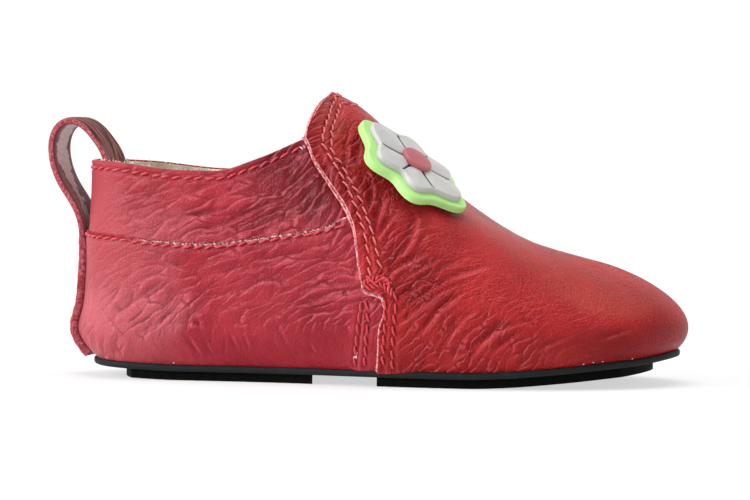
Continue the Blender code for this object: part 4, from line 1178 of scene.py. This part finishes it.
# %% Middle face of the strap
STRAP_WIDTH, STRAP_THICKNESS, STRAP_FOOT_RISE, STRAP_LEAVES_AT = 13.0, 1.5, 0.05, 30.0
LOOP = table(
    "x z", (-0.3, 34.5), (-1.7, 38.6), (-4, 42.8), (-5.6, 46.8), (-6.1, 51), (-5.2, 54.4), (-3.2, 56.3),
    (-0.6, 56.4), (1.7, 55.1), (3.7, 52.9), (5.1, 50.1), (5.7, 47), (5.6, 43))
LOOP_END_HEIGHT, LOOP_END_SLACK, SEWN_ROWS = 40.5, 0.15, 40


def heel_round(width, rise):
    steps = np.linspace(-0.15, 0.15, 121)
    rows = upper_point(steps, np.asarray(rise)[..., None])[..., 1]
    return np.array([np.interp(width, row, steps) for row in rows])


def strap_middle(widths, loop_rows=120):
    """Middle face of the strap and the way its outside faces."""
    half = STRAP_THICKNESS / 2
    origin = np.array([0.0])
    rise = np.linspace(STRAP_FOOT_RISE, float(rise_at_height(origin, STRAP_LEAVES_AT)[0]), SEWN_ROWS)
    around = heel_round(widths, rise)
    rise = np.broadcast_to(rise[:, None], around.shape)
    skin, normal = skin_at(around, rise)
    lap = SEAM_STEP * (1 - soft_step((rise_at_height(origin, SEAM["z"][0]) - rise) / SEAM_LAP))
    lower = skin + (lap + GAP + half)[..., None] * normal
    middle = len(widths) // 2
    end_rise = rise_at_height(origin, LOOP_END_HEIGHT)
    wall, wall_normal = skin_at(heel_round(widths, end_rise)[0], end_rise[0])
    inside = wall - (WALL + GAP + half + LOOP_END_SLACK) * wall_normal
    start, end = lower[-1, middle], inside[middle]
    path = np.stack([np.concatenate([[start[k]], LOOP[name], [end[k]]]) for name, k in (("x", 0), ("z", 2))], -1)
    length = gone_along(path)
    at = np.linspace(0, length[-1], loop_rows)
    x, z = (smooth_curve(length, column)(at) for column in path.T)
    share = at / length[-1]
    bow = np.outer(1 - soft_step(share / 0.30), lower[-1, :, 0] - start[0])
    bow = bow + np.outer(soft_step((share - 0.72) / 0.16), inside[:, 0] - end[0])
    loop = joined(x[:, None] + bow, widths[None, :], z[:, None])
    turn = unit(joined(-np.gradient(z, at), 0.0, np.gradient(x, at)))[:, None]
    fade = (1 - soft_step(share / 0.12))[:, None, None]
    lie = unit(normal[-1][None] * fade + turn * (1 - fade))
    return np.concatenate([lower, loop[1:]]), np.concatenate([normal, lie[1:]])


# %% Two faces of the strap
WRINKLE, RIM_ROUNDING, SEATED, SEATED_TO = 0.14, 0.28, 0.4, 24.0   # millimetres
WORN_FROM = 50.0           # how far along the strap the loop's worn part begins

half_width = STRAP_WIDTH / 2
widths = half_width * np.concatenate([[-1, -0.985, -0.95], np.linspace(-0.9, 0.9, 25), [0.95, 0.985, 1]])
middle_face, lie = strap_middle(widths)
along, across = np.meshgrid(gone_along(middle_face[:, len(widths) // 2]), widths, indexing="ij")
half_thick = STRAP_THICKNESS / 2 - RIM_ROUNDING * np.clip((np.abs(across) / half_width - 0.93) / 0.07, 0, 1) ** 2
# On the strap the stored field is real wear only, with no painted light.
wear_and_painted_light = soft_step((along - WORN_FROM) / 9)
wrinkle = np.sin(across * 3.4 + 0.9 * np.sin(along * 0.33)) + 0.6 * np.sin(across * 1.7 + 0.12 * along + 1.0)
grain_side = middle_face + (half_thick + WRINKLE * wear_and_painted_light * wrinkle)[..., None] * lie
seated = SEATED * (1 - soft_step((along - SEATED_TO) / 4))
flesh_side = middle_face - (half_thick + seated)[..., None] * lie
print("strap", round(float(along.max())), "mm long")


# %% Grain, suede and the sewn strap
def worn_grain():
    grain = Finish("strap_grain", (0.27, 0.06, 0.06), 0.5)
    grain.set(Specular_IOR_Level=0.25)
    along, across, wear_and_painted_light = (grain.value_on_points(label) for label in ("along", "across", "wear_and_painted_light"))
    place = grain.node("CombineXYZ", {0: along, 1: across}).outputs[0]
    streak = grain.noise(1.0, 4.0, grain.vector("MULTIPLY", place, (0.12, 1.6, 1.0)))
    fresh = grain.blend(grain.band(streak, 0.3, 0.7), (0.26, 0.016, 0.022), (0.40, 0.045, 0.055))
    tired = grain.blend(grain.band(streak, 0.38, 0.62), (0.055, 0.012, 0.011), (0.30, 0.09, 0.08))
    height = grain.sum((streak, 0.7), (grain.noise(3.0), 0.3))
    return grain.finish(grain.blend(grain.band(wear_and_painted_light, 0.0, 1.0), fresh, tired), height, 0.3, 0.8)


def smeared_suede():
    """Pale suede with dye smeared along its sides and low down."""
    suede = Finish("strap_suede", (0.42, 0.33, 0.32), 0.95)
    suede.set(Sheen_Weight=0.25, Sheen_Roughness=0.5)
    nap = suede.noise(2.2, 5.0, rough=0.65)
    aside = suede.math("ABSOLUTE", suede.value_on_points("across"))
    low_down = suede.band(suede.value_on_points("along"), 36.0, 46.0, 2.6, 0.0)
    smear = suede.band(suede.sum((aside, 1.0), (suede.noise(0.55, 3.0), 7.0), (low_down, 1.0)), 7.0, 7.9)
    colour = suede.blend(suede.band(nap, 0.3, 0.7), (0.52, 0.42, 0.42), (0.90, 0.80, 0.79))
    return suede.finish(suede.blend(smear, colour, (0.17, 0.018, 0.028)), nap, 0.12, 0.8)


front, back, rim = sheet_faces(*along.shape)
slots = np.concatenate([np.zeros(len(front)), np.ones(len(back)), np.full(len(rim), 2)])
fields = {label: np.tile(values.ravel(), 2)
          for label, values in (("along", along), ("across", across), ("wear_and_painted_light", wear_and_painted_light))}
make_piece("heel_strap_leather", listed(grain_side, flesh_side), np.concatenate([front, back, rim]),
           [worn_grain(), smeared_suede(), CUT_STRAP], "heel_strap", slots, fields)
ROW_INSET, ROW_START, ROW_SUNK = 1.4, 1.5, 0.3   # the strap's rows of stitches, in millimetres
for side, label in SIDES:
    column = np.abs(widths - side * (half_width - ROW_INSET)).argmin()
    line = grain_side[:SEWN_ROWS, column]
    at = np.arange(ROW_START, gone_along(line)[-1], STITCH_PITCH)
    places, ways, normals = seats_along(line, lie[:SEWN_ROWS, column], at, 0.5)
    lay_stitches("strap_row_" + label, places - ROW_SUNK * normals, ways, normals, STITCH_LENGTH, THREAD,
                 RED_THREAD)

# %% [markdown]
# ## Sole, tread and insole
# The sole is a thin sheet of grey rubber with a softened edge. Under it two black pads carry the tread: fine ribs
# across, whose ends show as upright grooves along the pad's side. The grooves could be cut out one by one, but
# pressing them into a fine grid is quicker and leaves clean faces. The insole is a board covered in the same
# fleece.

# %% Sheets along the sole
SOLE_MARGIN, PAD_INSET, PAD_THICKNESS, SOLE_THICKNESS, INSOLE_THICKNESS = 0.6, 0.9, 1.7, 1.2, 2.0
SOLE_SOFTEN, INSOLE_SOFTEN, INSOLE_LUMP = 0.45, 0.8, 0.3


def across_sole(outer_rounds, inner_rounds, outset, share):
    """Grid of points from the outer edge of the sole to its inner edge."""
    outer_edge, inner_edge = sole_point(-outer_rounds, outset), sole_point(inner_rounds, outset)
    return outer_edge[:, None] * (1 - share[..., None]) + inner_edge[:, None] * share[..., None]


def sole_sheet(name, outset, bottom, thickness, soften, finish, stands_for, lump=0.0, rows=121, across=25):
    """Sheet with the whole outline of the sole, a rounded edge and perhaps a lumpy top."""
    rounds = 0.5 - 0.5 * np.cos(np.linspace(0, np.pi, rows))
    loop = np.concatenate([-rounds[::-1], rounds[1:-1]])
    turn = np.radians(np.linspace(-90, 90, 7))
    insets = soften * (1 - np.cos(turn))
    heights = bottom + thickness / 2 + (thickness / 2) * np.sin(turn)
    points = [listed(*(sole_point(loop, outset - inset, height) for inset, height in zip(insets, heights)))]
    faces = [grid_faces(ringed(numbered(len(turn), len(loop))))]
    share = np.linspace(0, 1, across)[None]
    inner_part = soft_step(np.minimum(share, 1 - share) / 0.04)
    inner_part = inner_part * soft_step(np.minimum(rounds, 1 - rounds) / 0.05)[:, None]
    for inset, height, lumpy in ((insets[0], heights[0], 0.0), (insets[-1], heights[-1], lump)):
        face = across_sole(rounds, rounds, outset - inset, share)
        face[..., 2] = spring(face[..., 0]) + height
        face[..., 2] += lumpy * lumps(face, 3.2, 12) * inner_part
        faces.append(grid_faces(numbered(rows, across)) + sum(len(part) for part in points))
        points.append(listed(face))
    return make_piece(name, listed(*points), np.concatenate(faces), [finish], stands_for, weld=0.01)


sole_sheet("sole_sheet", SOLE_MARGIN, PAD_THICKNESS + GAP, SOLE_THICKNESS + GAP, SOLE_SOFTEN, SOLE_GREY,
           "sole")
sole_sheet("fleece_insole", -RIM_WIDTH - GAP, UPPER_FOOT, INSOLE_THICKNESS, INSOLE_SOFTEN, FLEECE,
           "insole", INSOLE_LUMP, across=61)

# %% Tread pads
RIB_PITCH, GROOVE_WIDTH, GROOVE_DEPTH, GROOVE_WALL, GROOVE_ASIDE, PAD_STEP = 3.1, 0.8, 0.5, 0.3, 0.10, 0.26
HEEL_PAD, HEEL_PAD_SLANT, HEEL_PAD_BOW = (15.1, 57.0), 8.5, 4.5   # a pad's start and end along the sole first
FOREFOOT_PAD, FOREFOOT_PAD_BOW = (71.9, 124.5), 4.0


def tread_pad(name, start, end, stands_for, slant=0.0, back_bow=0.0, front_bow=0.0, across=41):
    """Ribbed pad between two places along the sole. Its ends may be bowed, and its front end slants back on the
    inner side."""
    fine = np.linspace(0, 1, 801)
    first, last, inner_last = np.interp([start, end, end - slant], sole_x(fine), fine)
    rows = int((end - start) / PAD_STEP)
    share, along = np.linspace(0, 1, across)[None], np.linspace(0, 1, rows)[:, None]
    face = across_sole(np.linspace(first, last, rows), np.linspace(first, inner_last, rows), -PAD_INSET, share)
    arch = 1 - (2 * share - 1) ** 2
    face[..., 0] += arch * (front_bow * along ** 4 - back_bow * (1 - along) ** 4)
    phase = np.abs((face[..., 0] - start) / RIB_PITCH % 1 - 0.5) * RIB_PITCH
    groove = 1 - soft_step((phase - GROOVE_WIDTH / 2) / GROOVE_WALL)
    groove = groove * soft_step(along / 0.06) * soft_step((1 - along) / 0.08)
    from_side = np.minimum(share, 1 - share)
    face[..., 1] += GROOVE_ASIDE * groove * np.sign(0.5 - share) * (from_side < 1e-6)
    level, under = spring(face[..., 0]), face.copy()
    under[..., 2] = level + GROOVE_DEPTH * groove * soft_step((from_side - 0.02) / 0.05)
    face[..., 2] = level + PAD_THICKNESS + GAP
    faces = np.concatenate(sheet_faces(rows, across))
    return make_piece(name, listed(face, under), faces, [PAD_BLACK], stands_for, crisp=35)


tread_pad("heel_tread", *HEEL_PAD, "tread_heel", slant=HEEL_PAD_SLANT, back_bow=HEEL_PAD_BOW)
tread_pad("forefoot_tread", *FOREFOOT_PAD, "tread_forefoot", front_bow=FOREFOOT_PAD_BOW)

# %% [markdown]
# ## Badge
# A soft rubber badge sits on the instep: a scalloped lime base, a pale flower in relief and a pink middle.
# Moulded rubber has no sharp edge, so each layer is a disc of rings with a rounded rim, which takes any outline
# and bends as the solid does. The petals are parted by dark grooves, and a low boss under the base seats it on
# the leather.

# %% Where the badge sits
BADGE_ROUND, BADGE_RISE, BADGE_LIFT = 0.678, 0.70, 0.75
BADGE_HALF_LENGTH, BADGE_HALF_WIDTH, BADGE_SCALLOP, BADGE_PETALS = 13.6, 10.8, 1.2, 6
BADGE_BASE_THICKNESS, BADGE_RELIEF_THICKNESS, BADGE_BUTTON_THICKNESS = 1.6, 1.0, 0.6
BADGE_BUTTON_RADIUS, BADGE_BORDER, BADGE_BEND, BADGE_CURL = 3.6, 2.2, 0.006, 0.003
BASE_SOFTEN, FLOWER_SOFTEN, BUTTON_SOFTEN, BUTTON_DOME = 0.55, 0.4, 0.5, 0.2

seat, facing = skin_at(-BADGE_ROUND, BADGE_RISE)
downhill = unit(np.array([1.0, 0.0, float(ridge_slope(BADGE_ROUND))]))
downhill = unit(downhill - facing * (facing @ downhill))
sideways = np.cross(facing, downhill)
print("badge at", np.round(seat, 1), "facing", np.round(facing, 2))


def badge_place(along, aside, height):
    lift = height - BADGE_BEND * aside ** 2 + BADGE_CURL * along ** 2
    return seat + along[..., None] * downhill + aside[..., None] * sideways + lift[..., None] * facing


# %% Shapes and layers of the badge
def outline(angle, border=0.0):
    oval = np.hypot(np.cos(angle) / BADGE_HALF_LENGTH, np.sin(angle) / BADGE_HALF_WIDTH) ** -1
    return oval - border + BADGE_SCALLOP * np.cos(BADGE_PETALS * angle)


def petal_line(angle, share):
    """1 along the joints of the petals."""
    off = np.abs((angle * BADGE_PETALS / (2 * np.pi) + 0.5) % 1 - 0.5) * 2 * np.pi / BADGE_PETALS
    line = np.exp(-((np.pi / BADGE_PETALS - off) * share * 9.0 / 0.35) ** 2)
    return line * soft_step((share - 0.25) / 0.1) * soft_step((0.97 - share) / 0.05)


def petal_relief(angle, share):
    dome = 0.22 * np.cos(BADGE_PETALS * angle) * soft_step((share - 0.2) / 0.3) * soft_step((1 - share) / 0.2)
    return dome - 0.3 * petal_line(angle, share)


def plain(angle, share):
    return 0 * angle


def badge_disc(name, radius_at, bottom, thickness, soften, finish, stands_for, relief=plain, line=plain,
               spokes=240):
    """Disc of rings, from the foot of its rim over the rounded edge to the middle."""
    angle = turns(spokes)
    edge = radius_at(angle)
    rings = [(edge, 0.0)]
    for turn in np.radians(np.linspace(0, 90, 6)):
        rings.append((edge - soften * (1 - np.cos(turn)), thickness - soften * (1 - np.sin(turn))))
    rings += [((edge - soften) * share, thickness) for share in np.linspace(1, 0.03, 22)[1:]]
    points, lines = [], []
    for reach, height in rings:
        height = bottom + height + relief(angle, reach / edge)
        points.append(badge_place(reach * np.cos(angle), reach * np.sin(angle), height))
        lines.append(line(angle, reach / edge))
    return make_piece(name, listed(*points), tube_faces(len(rings), spokes), [finish], stands_for,
                      fields={"line": np.concatenate(lines)}, crisp=60)


def badge_rubber(name, colour, line_colour):
    rubber = Finish(name, colour, 0.38)
    rubber.set(Specular_IOR_Level=0.3)
    shade = rubber.blend(rubber.band(rubber.noise(0.4, 3.0), 0.3, 0.7, 0.0, 0.35), colour, darker(colour, 0.82))
    shade = rubber.blend(rubber.band(rubber.value_on_points("line"), 0.35, 0.75), shade, line_colour)
    return rubber.finish(shade, rubber.noise(5.0), 0.03, 0.5)


LIME = badge_rubber("lime_rubber", (0.42, 0.75, 0.24), (0.3, 0.6, 0.12))
SILVER = badge_rubber("pale_grey_rubber", (0.52, 0.515, 0.50), (0.06, 0.06, 0.06))
PINK = badge_rubber("pink_rubber", (0.44, 0.12, 0.14), (0.3, 0.05, 0.07))

level = BADGE_LIFT
badge_disc("badge_base_rubber", outline, level, BADGE_BASE_THICKNESS, BASE_SOFTEN, LIME,
           "badge_base")
level += BADGE_BASE_THICKNESS
badge_disc("badge_flower_rubber", lambda angle: outline(angle, BADGE_BORDER), level, BADGE_RELIEF_THICKNESS + GAP,
           FLOWER_SOFTEN, SILVER, "badge_flower", petal_relief, petal_line)
level += BADGE_RELIEF_THICKNESS + GAP
badge_disc("badge_button_rubber", lambda angle: np.full_like(angle, BADGE_BUTTON_RADIUS), level,
           BADGE_BUTTON_THICKNESS + GAP, BUTTON_SOFTEN, PINK, "badge_button",
           lambda angle, share: BUTTON_DOME * (1 - share ** 2))

# %% Boss that seats the badge on the leather
BOSS = table("length width height", (5.0, 4.5, BADGE_LIFT + 0.4), (5.4, 4.9, -0.8))   # its top and its foot
angle = turns(48)
rings = [badge_place(length * np.cos(angle), width * np.sin(angle), np.full(48, height))
         for length, width, height in zip(*BOSS.values())]
make_piece("badge_boss", listed(*rings), tube_faces(2, 48), [LIME])
